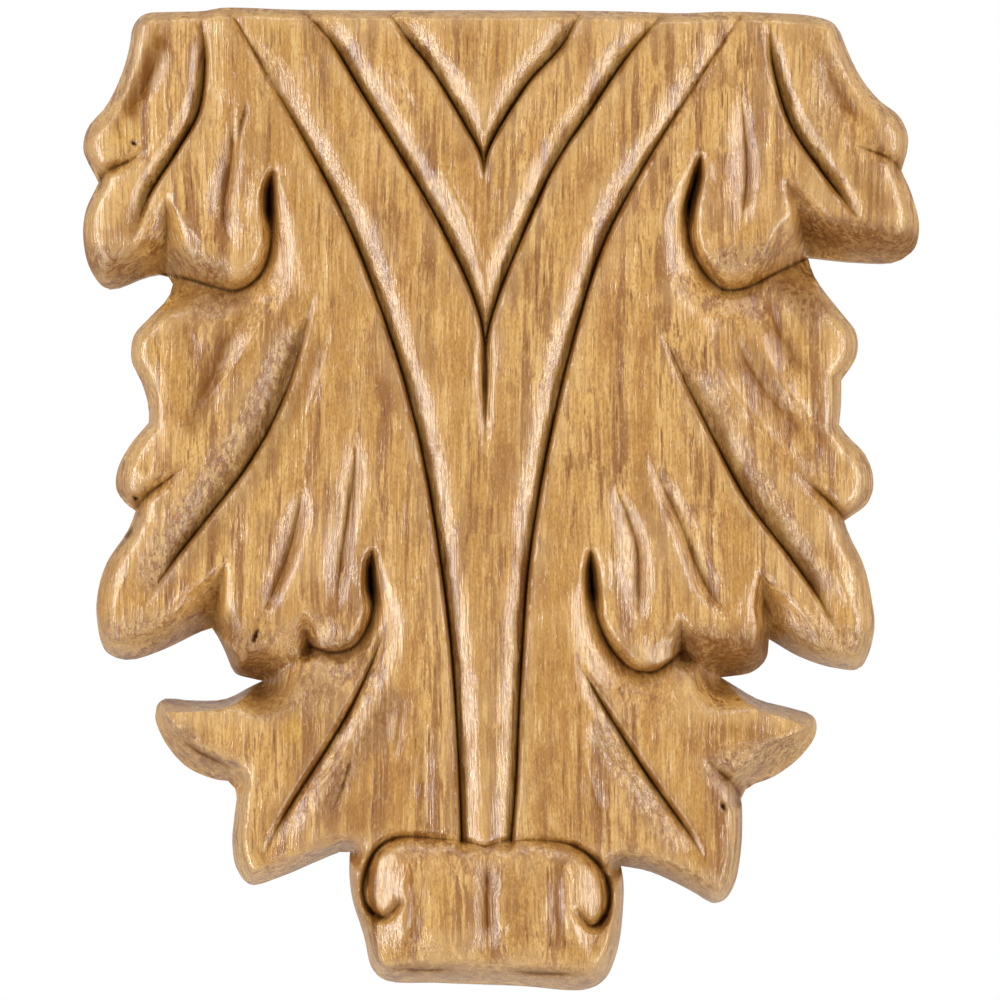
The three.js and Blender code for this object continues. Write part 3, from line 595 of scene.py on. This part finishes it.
def yellowed(points):
    """How yellow the lacquer is at each point, from 0 to 1."""
    yellow = np.zeros(len(points))
    for x, y, half_x, half_y in YELLOWED:
        off = (points - on_wood([x, y])[0]) / (np.array([half_x, half_y]) * SQUARE)
        yellow = np.maximum(yellow, np.exp(-(off**2).sum(1)))
    return yellow


# Height in mm, and for the waves: the shortest and the longest in mm, how many, and their seed
SWELL, SWELL_WAVES = 0.26, ((8, 20), 20, 5)
RIPPLE, RIPPLE_WAVES = 0.05, ((2.4, 5), 30, 8)
TEAR, TEAR_WAVES = 0.09, ((1.3, 2.4), 40, 9)


def unevenness(points):
    """Swells, ripples and torn grain together, in mm."""
    broad = SWELL * waves(points, *SWELL_WAVES)
    small = RIPPLE * waves(points, *RIPPLE_WAVES)
    rough = TEAR * torn_grain(points)[0] * waves(points, *TEAR_WAVES)
    return broad + small + rough


# %% The finished face
SCROLL_MIDDLE = [487, 905]  # on the sheet
BORDER_FADE = 1.6  # mm from the border, at most, over which the fine strokes and the waves set in
LINE_CALM = 0.7  # share of the waves that a dark line takes away
# The stain and the painted shade set in this many times as fast, and so don't run over onto the side
STAIN_AND_SHADE_SET = 3  # the stain sets in this many times as fast, and so doesn't run over onto the side
CORNERS = [START, *(run["points"][-2:] for run in BORDER)]
BORDER_KNOTS = [[*corner, *run["points"]] for corner, run in zip(CORNERS, BORDER)]
BORDER_LINES = [smooth_line(knots, BORDER_STEP) for knots in BORDER_KNOTS]


def finished(points):
    """Height over the back, and the dark and brown of the stain and painted shade, at points in mm from the
    middle.
    """
    dome = CROWN * (1 - np.minimum(1, np.abs(points[:, 0]) / (WIDTH / 2)) ** 2)
    across, up = (points - on_wood(SCROLL_MIDDLE)[0]).T
    off = np.hypot((across / SCROLL_ACROSS) ** 2, up / SCROLL_UP)
    uncut = SIDE_THICKNESS + dome + SCROLL_SWELL * np.maximum(0, 1 - off**2)
    cut, fine, dark, brown = carve(points)
    face = np.maximum(uncut - cut, LEAST_WOOD)
    height, inset = face.copy(), np.ones(len(points))
    for run, line in zip(BORDER, BORDER_LINES):
        here = near_box(line, points, max(run["roll"]))
        gap, share, _ = nearest(line, points[here])
        roll = along(run["roll"], share)
        rim = np.minimum(along(run["rim"], share), face[here])
        rise = 1 - np.clip(1 - gap / roll, 0, 1) ** run.get("bend", ROLL_BEND)
        height[here] = np.minimum(height[here], rim + (face[here] - rim) * rise)
        inset[here] = np.minimum(inset[here], np.clip(gap / np.minimum(roll, BORDER_FADE), 0, 1))
    height += (unevenness(points) * (1 - LINE_CALM * dark) - fine) * inset
    off_side = np.clip(STAIN_AND_SHADE_SET * inset, 0, 1)
    return height, dark * off_side, brown * off_side


sample = on_wood([485, 300, 435, 500, 300, 500])
print("heights at three points, in mm:", finished(sample)[0].round(2))

# %% [markdown]
# ## The carved piece
#
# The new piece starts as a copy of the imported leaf, so it has exactly its outline and its back. A
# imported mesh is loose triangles, so the copy is merged first. Then the edges of its face are divided:
# short ones beside every stroke and along the border, longer ones on the plain wood between, where
# they would only cost memory. Each new border point is put back on the smooth border, and every
# point of the face is raised or lowered to its finished height. A Displace modifier could do
# something like it, but it needs a texture, and this needs exact lines.

# %% Copy, merge and divide
FINE_EDGE, COARSE_EDGE = 0.00062, 0.0013  # metres: the longest edges beside a stroke and far from all
FINE_BAND, EDGE_GROWTH = 0.0005, 0.45  # edges are fine this far from a stroke, then they may grow
SIDE_FACE = 0.01  # a face that looks less to the front than this is part of the cut side
SAME_PLACE = 1e-6  # metres: points closer than this are merged
DIVISIONS = 4  # rounds, each of which halves the edges that are still too long

guides = [row[2] for row in CUTS + FINE_CUTS] + BORDER_KNOTS
guide_points = np.vstack([smooth_line(knots, LINE_STEP) for knots in guides]) / 1000
nearest_guide = KDTree(len(guide_points))
for number, (x, z) in enumerate(guide_points):
    nearest_guide.insert((x, 0, z), number)
nearest_guide.balance()


def too_long(edge):
    """If an edge should be divided once more, by how near to a stroke or the border it is."""
    length = edge.calc_length()
    if length <= FINE_EDGE:
        return False
    middle = (edge.verts[0].co + edge.verts[1].co) / 2
    gap = nearest_guide.find((middle.x, 0, middle.z))[2]
    return length > min(FINE_EDGE + EDGE_GROWTH * max(0, gap - FINE_BAND), COARSE_EDGE)


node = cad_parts["carved_leaf"]
shape = bmesh.new()
shape.from_mesh(node.data)
bmesh.ops.remove_doubles(shape, verts=shape.verts, dist=SAME_PLACE)
for _ in range(DIVISIONS):
    shape.normal_update()
    front = {face for face in shape.faces if face.normal.y < -SIDE_FACE}
    long_edges = [edge for edge in shape.edges if front.intersection(edge.link_faces) and too_long(edge)]
    bmesh.ops.subdivide_edges(shape, edges=long_edges, cuts=1)
    many_sided = [face for face in shape.faces if len(face.verts) > 3]
    bmesh.ops.triangulate(shape, faces=many_sided, quad_method="SHORT_EDGE", ngon_method="BEAUTY")
    print("divided", len(long_edges), "edges; faces now:", len(shape.faces))

# %% Keep the border smooth
ON_BACK = 1.0  # mm: the back and the foot of the side, where no point of the face lies
BORDER_SLACK = 1.0  # mm: border points are at most this far from the smooth border

shape.normal_update()
shape.verts.index_update()
on_border = [
    vert.index
    for vert in shape.verts
    if vert.co.y * 1000 < -ON_BACK and any(abs(face.normal.y) <= SIDE_FACE for face in vert.link_faces)
]
for face in shape.faces:
    face.smooth = True
leaf_mesh = bpy.data.meshes.new("leaf")
shape.to_mesh(leaf_mesh)
shape.free()
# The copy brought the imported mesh's own shading directions along, which no longer fit the new faces
if leaf_mesh.has_custom_normals:
    leaf_mesh.attributes.remove(leaf_mesh.attributes["custom_normal"])
places = np.empty(len(leaf_mesh.vertices) * 3)
leaf_mesh.vertices.foreach_get("co", places)
places = places.reshape(-1, 3) * 1000  # mm


def onto_border(points):
    """The nearest points of the smooth border."""
    best, result = np.full(len(points), np.inf), points.copy()
    for line in BORDER_LINES:
        here = near_box(line, points, BORDER_SLACK)
        gap, share, _ = nearest(line, points[here])
        spots = np.column_stack([along(line[:, 0], share), along(line[:, 1], share)])
        closer = gap < best[here]
        best[here[closer]], result[here[closer]] = gap[closer], spots[closer]
    return result


low_corner, high_corner = (np.array([c.x, c.z]) * 1000 for c in (cad_low, cad_high))
border_points = np.clip(onto_border(places[on_border][:, [0, 2]]), low_corner, high_corner)
moved = np.linalg.norm(border_points - places[on_border][:, [0, 2]], axis=1)
places[np.ix_(on_border, [0, 2])] = border_points
print(len(on_border), "border points moved by", round(float(moved.max()), 3), "mm at most")

# %% Raise every point of the face
SHARP_ANGLE = 62  # degrees: a steeper edge than this isn't shaded as a rounded one

on_face = np.nonzero(places[:, 1] < -ON_BACK)[0]
face_points = places[on_face][:, [0, 2]]
height, dark, brown = finished(face_points)
places[on_face, 1] = -np.minimum(height, -cad_low.y * 1000)
leaf_mesh.vertices.foreach_set("co", (places / 1000).ravel())
leaf_mesh.update()
leaf_mesh.set_sharp_from_angle(angle=math.radians(SHARP_ANGLE))
EDGE_ENDS = np.empty(len(leaf_mesh.edges) * 2, int)
leaf_mesh.edges.foreach_get("vertices", EDGE_ENDS)
EDGE_ENDS = EDGE_ENDS.reshape(-1, 2)
# The face meets the side at a slight angle. Shaded as one, the two would leave black marks there
is_border, sharp_edges = np.zeros(len(places), bool), np.zeros(len(EDGE_ENDS), bool)
is_border[on_border] = True
sharpness = leaf_mesh.attributes["sharp_edge"].data
sharpness.foreach_get("value", sharp_edges)
sharpness.foreach_set("value", sharp_edges | is_border[EDGE_ENDS].all(1))
leaf = added("leaf", leaf_mesh)
print("the leaf has", len(leaf_mesh.vertices), "points and", len(leaf_mesh.polygons), "faces")

# %% [markdown]
# ## What the finish needs to know of the shape
#
# Stain wiped over carved wood stays in the deep lines and is rubbed off the edges, and the back stays
# raw. On top of that stain, shade is painted: darker in the deep lines, beside them and in the hollows,
# and a painted highlight makes raised places lighter. Blender could find hollows while it renders, but
# a value stored on the points of the mesh also survives an export. Six values are stored: the dark of
# the lines, the brown beside them, where the grain is torn or the lacquer yellow, how hollow or raised
# a place is, and where the wood is raw.

# %% Store the values on the points
WIDE, NARROW, OFF_BORDER = 40, 2, 30  # rounds of blending with the neighbours
BORDER_GAIN = 1.6  # the higher, the nearer to the border a hollow counts again
RAW_DEPTH = 0.01  # mm from the back plane


def spread(values, rounds):
    """Each value blended with its neighbours' values, a number of rounds over."""
    counts = np.bincount(EDGE_ENDS.ravel(), minlength=len(values))
    for _ in range(rounds):
        sums = np.bincount(EDGE_ENDS[:, 0], values[EDGE_ENDS[:, 1]], len(values))
        sums += np.bincount(EDGE_ENDS[:, 1], values[EDGE_ENDS[:, 0]], len(values))
        values = (values + sums / counts) / 2
    return values


def store(name, values):
    """Keeps a value for each point under a name that the material asks for."""
    leaf_mesh.attributes.new(name, "FLOAT", "POINT").data.foreach_set("value", values.astype(np.float32))


full = np.zeros(len(places))
full[on_face] = -places[on_face, 1]
# How hollow or raised a place is: from it the material paints shade into hollows and a highlight onto raised
# places
hollow = np.zeros(len(places))
hollow[on_face] = (spread(full, WIDE) - spread(full, NARROW))[on_face]
off_border = np.ones(len(places))
off_border[on_border] = 0
off_border = np.clip(1 + BORDER_GAIN * (spread(off_border, OFF_BORDER) - 1), 0, 1)
torn, torn_brown = torn_grain(face_points)
brown = np.maximum(brown, torn_brown)
for name, values in (("dark", dark), ("brown", brown), ("torn", torn), ("yellow", yellowed(face_points))):
    whole = np.zeros(len(places))
    whole[on_face] = values
    store(name, whole)
store("hollow", hollow * off_border)
store("raw", (places[:, 1] > -RAW_DEPTH).astype(float))
print("hollow from", hollow.min().round(2), "to", hollow.max().round(2), "mm")

# %% [markdown]
# ## Nodes from plain sums
#
# A material is a net of small boxes, and a long sum of them is hard to read as such. The class below
# holds one output of a box, so that `a * 0.5 + b` makes the boxes for that sum. Every other kind of
# box comes from its one method `box`.

# %% A wire between boxes
class Wire:
    """An output of a shader node. Sums on it make Math nodes."""

    tree = None

    def __init__(self, socket):
        self.socket = socket

    @classmethod
    def box(cls, kind, settings=(), values=(), output=0):
        """Adds a node of a kind, with its settings, then the values or wires of its sockets."""
        made = cls.tree.nodes.new(kind)
        for name, setting in dict(settings).items():
            setattr(made, name, setting)
        for key, value in dict(values).items():
            if isinstance(value, Wire):
                cls.tree.links.new(value.socket, made.inputs[key])
            elif made.inputs[key].type == "RGBA":
                made.inputs[key].default_value = (*value, 1)
            else:
                made.inputs[key].default_value = value
        return cls(made.outputs[output])

    def sum(self, operation, first, second):
        return self.box("ShaderNodeMath", {"operation": operation}, {0: first, 1: second})

    def __add__(self, other):
        return self.sum("ADD", self, other)

    def __sub__(self, other):
        return self.sum("SUBTRACT", self, other)

    def __rsub__(self, other):
        return self.sum("SUBTRACT", other, self)

    def __mul__(self, other):
        return self.sum("MULTIPLY", self, other)

    __radd__, __rmul__ = __add__, __mul__


def clamp(value):
    return Wire.box("ShaderNodeClamp", (), {"Value": value})


def ease(value, low, high):
    """0 at low, 1 at high and a soft slope between them."""
    sockets = {"Value": value, "From Min": low, "From Max": high}
    return Wire.box("ShaderNodeMapRange", {"interpolation_type": "SMOOTHSTEP"}, sockets)


def tinted(base, *layers):
    """A colour with others laid over it, each a colour and the share of it that shows."""
    for colour, share in layers:
        sockets = {"Factor": share, 6: base, 7: colour}
        base = Wire.box("ShaderNodeMix", {"data_type": "RGBA"}, sockets, output=2)
    return base


def stored(name):
    return Wire.box("ShaderNodeAttribute", {"attribute_name": name}, (), output=2)


def feed(wire, node, socket):
    """Leads a wire into a socket of a node that is there already."""
    Wire.tree.links.new(wire.socket, Wire.tree.nodes[node].inputs[socket])


print("helpers ready")

# %% [markdown]
# ## Honey-brown wood under lacquer
#
# The grain runs up and down the leaf. A picture of wood laid on the front would stretch at every
# slope, so the wood is a pattern in space instead, as if the leaf were really cut from the board:
# years of growth as wavy sheets, fibres as long thin streaks, and pores as thin tubes, which show as
# dashes on the face and as dots where a slope cuts them across. Over the wood lie the stain and the
# painted shade of the cuts and hollows, and a painted highlight on raised places. Lacquer makes the
# wood shine, but the stain in the cuts dried matt, so the surface is a mix of two: glossy on the wood,
# dull on the stain and painted shade of the cuts.

# %% The board's own space
PORE_CORE = 0.6  # of a pore's width is quite dark


def along_grain(place, side, length):
    """The place in a space where one unit is a cell this wide and this long, in metres."""
    scale = (1 / side, 1 / side, 1 / length)
    return Wire.box("ShaderNodeVectorMath", {"operation": "MULTIPLY"}, {0: place, 1: scale})


def noise(place, side, length, detail, roughness=0.5, output=0):
    """Soft clouds with cells of this width and length, as one value or, from output 1, as three."""
    cells = along_grain(place, side, length)
    sockets = {"Vector": cells, "Scale": 1.0, "Detail": detail, "Roughness": roughness}
    return Wire.box("ShaderNodeTexNoise", (), sockets, output)


def wavy(place, side, length, shift):
    """The place pushed aside by soft waves, because no tree grows quite straight."""
    sway = noise(place, side, length, 2, output=1)
    centred = Wire.box("ShaderNodeVectorMath", {"operation": "SUBTRACT"}, {0: sway, 1: (0.5, 0.5, 0.5)})
    pushed = Wire.box("ShaderNodeVectorMath", {"operation": "MULTIPLY"}, {0: centred, 1: (shift, shift, 0)})
    return Wire.box("ShaderNodeVectorMath", {"operation": "ADD"}, {0: place, 1: pushed})


def pores(place, side, length, size):
    """Thin tubes along the grain, 1 inside them; a cell of the board holds one."""
    sockets = {"Vector": along_grain(place, side, length), "Scale": 1.0}
    off_middle = Wire.box("ShaderNodeTexVoronoi", (), sockets)
    return 1 - ease(off_middle, size * PORE_CORE, size)


# %% Colours of the wood
HONEY = (0.635, 0.36, 0.10)
TAN = (0.475, 0.237, 0.047)
BROWN_GRAIN = (0.25, 0.090, 0.013)
RED_GRAIN = (0.42, 0.17, 0.032)
PALE_GRAIN = (0.70, 0.44, 0.165)
YELLOW = (0.54, 0.30, 0.03)
PORE = (0.16, 0.050, 0.007)
# Dark of the lines, and brown beside the cuts and in hollows: partly stain, partly painted shade
DEEP_STAIN_AND_SHADE = (0.020, 0.006, 0.001)
WARM_STAIN_AND_SHADE = (0.17, 0.055, 0.008)
# Raised places painted lighter: partly stain rubbed off there, partly a painted highlight
WEAR_AND_SHEEN = (0.67, 0.43, 0.18)
TORN_WOOD = (0.50, 0.31, 0.125)
RAW_WOOD = (0.56, 0.38, 0.20)

# Width and length of a pattern's cells in metres, its detail, and how rough that is if not 0.5
YEARS, BANDS, BLUSH = (0.012, 0.12, 3), (0.0034, 0.06, 2), (0.004, 0.03, 2)
STREAKS, FIBRES = (0.0013, 0.03, 3, 0.6), (0.0004, 0.008, 3, 0.65)
SMUDGES, SPECKS = (0.005, 0.011, 3, 0.6), (0.00028, 0.0006, 1)
CHIPS, SAW_MARKS = (0.0009, 0.0016, 3, 0.6), (0.03, 0.0011, 1)
SWAY = (0.045, 0.11, 0.006)  # width and length of its waves, and how far they push the grain aside
# Width and length of the cells that hold one pore each, and the pore's width in shares of its cell
LONG_PORES, SHORT_PORES, TORN_PORES = (0.0013, 0.04, 0.11), (0.0008, 0.008, 0.23), (0.0008, 0.0011, 0.26)


def wood_colour(place, board):
    """Base colour, and the fibres and streaks for the relief."""
    years, bands, blush, streaks, fibres = (
        noise(board, *cells) for cells in (YEARS, BANDS, BLUSH, STREAKS, FIBRES)
    )
    smudges, specks = noise(place, *SMUDGES), noise(place, *SPECKS)
    browner = ease(bands * 0.5 + years * 0.2 + streaks * 0.3, 0.44, 0.6)
    base = tinted(
        TAN,
        (HONEY, ease(years * 0.35 + bands * 0.65, 0.4, 0.56)),
        (RED_GRAIN, ease(blush, 0.5, 0.68) * 0.4),
        (YELLOW, stored("yellow") * 0.5),
        (BROWN_GRAIN, ease(bands * 0.45 + streaks * 0.55, 0.5, 0.6) * 0.85),
        (BROWN_GRAIN, ease(fibres, 0.5, 0.62) * (0.3 + 0.65 * browner)),
        (PALE_GRAIN, ease(fibres * 0.6 + streaks * 0.4, 0.49, 0.37) * 0.7),
        (BROWN_GRAIN, ease(smudges, 0.52, 0.67) * 0.5),
        (BROWN_GRAIN, ease(specks, 0.5, 0.75) * 0.5),
        (PALE_GRAIN, ease(specks, 0.46, 0.2) * 0.4),
        (PORE, pores(board, *LONG_PORES) * 0.8),
        (PORE, pores(board, *SHORT_PORES) * (0.3 + 0.6 * browner)),
    )
    return base, fibres, streaks


# %% The finished wood
LACQUER_SHINE, STAIN_AND_SHADE_SHINE, IOR = 0.72, 0.05, 1.5
BUMP_HEIGHT = 0.001  # metres, for a relief of 1


def lacquered_wood():
    material = bpy.data.materials.new("lacquered_wood")
    material.use_nodes = True
    Wire.tree = material.node_tree
    material.node_tree.nodes.remove(material.node_tree.nodes["Principled BSDF"])
    place = Wire.box("ShaderNodeTexCoord", (), (), output=3)
    board = wavy(place, *SWAY)
    base, fibres, streaks = wood_colour(place, board)
    hollow, dark, brown, torn, raw = map(stored, ("hollow", "dark", "brown", "torn", "raw"))
    chips, saw_marks = noise(place, *CHIPS), noise(place, *SAW_MARKS)
    base = tinted(
        base,
        # Raised places lighter: partly stain rubbed off, partly a painted highlight
        (WEAR_AND_SHEEN, ease(hollow, -0.1, -0.75) * 0.35),
        (TORN_WOOD, torn * 0.4),
        (BROWN_GRAIN, torn * ease(chips, 0.48, 0.58) * 0.85),
        (PORE, torn * pores(place, *TORN_PORES) * 0.8),
        # Hollows darker: painted shade
        (WARM_STAIN_AND_SHADE, ease(hollow, 0.05, 1.1) * 0.35),
        # Brown beside the cuts and dark on their lines: stain and painted shade
        (WARM_STAIN_AND_SHADE, clamp(brown * (streaks + 0.3))),
        (DEEP_STAIN_AND_SHADE, clamp(dark * 1.15 - 0.05)),
        (RAW_WOOD, raw * 0.8),
    )
    roughness = 0.14 + 0.22 * fibres + 0.16 * torn + 0.3 * raw
    relief = 0.13 * fibres + 0.12 * streaks + (0.4 * torn + 0.05) * chips + 0.05 * raw * saw_marks
    bumped = Wire.box("ShaderNodeBump", (), {"Distance": BUMP_HEIGHT, "Height": relief})
    sockets = {"Base Color": base, "Roughness": roughness, "Normal": bumped, "IOR": IOR}
    lacquer, stain_and_shade = (
        Wire.box("ShaderNodeBsdfPrincipled", (), {**sockets, "Specular IOR Level": shine})
        for shine in (LACQUER_SHINE, STAIN_AND_SHADE_SHINE)
    )
    # Matt where the cuts are painted dark and brown with stain and painted shade
    stained_and_shaded = clamp(1.4 * dark + 1.1 * brown)
    both = Wire.box("ShaderNodeMixShader", (), {0: stained_and_shaded, 1: lacquer, 2: stain_and_shade})
    feed(both, "Material Output", "Surface")
    return material


leaf_mesh.materials.append(lacquered_wood())
print("the wood's material has", len(Wire.tree.nodes), "nodes")

# %% Tell the frame what the piece is
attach(leaf, "root")
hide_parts("carved_leaf")
print("the leaf stands for the packed node carved_leaf")

# %% [markdown]
# ## The room
#
# A catalogue picture has a white background and soft light. A wide pale floor lies well below the
# leaf and throws light up under its lobes. There is no wall behind the leaf, which would hide it from
# the back. Sky and floor look whiter than the light that they give, as if the picture's background had
# been retouched, so that the lamps still shape the carving.

# %% Floor and sky
FLOOR_LEVEL, FLOOR_HALF = -0.9, 6.0  # metres
SKY_LOOK, SKY_LIGHT = 1.0, 0.56  # how bright the sky looks, and how bright the light is that it gives
FLOOR_GLOW = 0.6  # the share of glow in what the camera sees of the floor
PALE, PALER, SPECKLE = (0.92, 0.92, 0.92), (0.96, 0.96, 0.96), 0.2  # speckles in metres
PAINT_ROUGHNESS = 0.8

floor_shape = bmesh.new()
bmesh.ops.create_grid(floor_shape, x_segments=1, y_segments=1, size=FLOOR_HALF)
bmesh.ops.translate(floor_shape, verts=floor_shape.verts, vec=(0, 0, FLOOR_LEVEL))
floor_mesh = bpy.data.meshes.new("floor")
floor_shape.to_mesh(floor_mesh)
floor_shape.free()
floor = added("floor", floor_mesh)

paint = bpy.data.materials.new("floor_paint")
paint.use_nodes = True
Wire.tree = paint.node_tree
speckle = noise(Wire.box("ShaderNodeTexCoord", (), (), output=3), SPECKLE, SPECKLE, 3)
painted = tinted(PALE, (PALER, speckle))
feed(painted, "Principled BSDF", "Base Color")
matt_paint = paint.node_tree.nodes["Principled BSDF"]
matt_paint.inputs["Roughness"].default_value = PAINT_ROUGHNESS
glow = Wire.box("ShaderNodeEmission", (), {"Color": painted})
looked_at = Wire.box("ShaderNodeLightPath")
both = {0: looked_at * FLOOR_GLOW, 1: Wire(matt_paint.outputs[0]), 2: glow}
feed(Wire.box("ShaderNodeMixShader", (), both), "Material Output", "Surface")
floor_mesh.materials.append(paint)

sky = bpy.data.worlds.new("white_sky")
bpy.context.scene.world = sky
sky.use_nodes = True
Wire.tree = sky.node_tree
feed(Wire.box("ShaderNodeLightPath") * (SKY_LOOK - SKY_LIGHT) + SKY_LIGHT, "Background", "Strength")
sky.node_tree.nodes["Background"].inputs["Color"].default_value = (1, 1, 1, 1)
bpy.context.scene.view_settings.view_transform = "Standard"
print("floor at", FLOOR_LEVEL, "m")

# %% [markdown]
# ## Tall soft lamps at the sides
#
# The bright lines beside the veins are on slopes that look to the left or to the right, so the lamps
# stand at the sides, tall and narrow, in front of the leaf, and a weaker one hangs above. Each is an
# area lamp aimed at the leaf. Lacquer mirrors a lamp as white, while the wood under it stays brown.
# Two more lamps at the sides are therefore seen by reflections only: they whiten the glints without
# making the wood itself paler.

# %% Lamps
def lamp(name, azimuth, elevation, distance, size, watts, only_shine):
    """An area lamp round the leaf, aimed at its middle. Azimuth 0 is the camera's side."""
    light = bpy.data.lights.new(name, "AREA")
    light.shape, (light.size, light.size_y), light.energy = "RECTANGLE", size, watts
    turned = added(name, light)
    a, e = math.radians(azimuth), math.radians(elevation)
    way = (math.sin(a) * math.cos(e), -math.cos(a) * math.cos(e), math.sin(e))
    turned.location = [distance * part for part in way]
    turned.rotation_euler = (math.radians(90) - e, 0, a)
    turned.visible_diffuse = not only_shine


# Degrees round and up, metres away, size in metres, watts, and if only reflections see it
lamp("left_lamp", -58, -8, 0.9, (0.3, 1.3), 5.6, False)
lamp("right_lamp", 58, -8, 0.9, (0.3, 1.3), 5.6, False)
lamp("left_shine", -64, -8, 0.9, (0.2, 1.3), 13, True)
lamp("right_shine", 64, -8, 0.9, (0.2, 1.3), 11, True)
lamp("top_lamp", 0, 66, 1.0, (0.8, 0.2), 3.6, False)
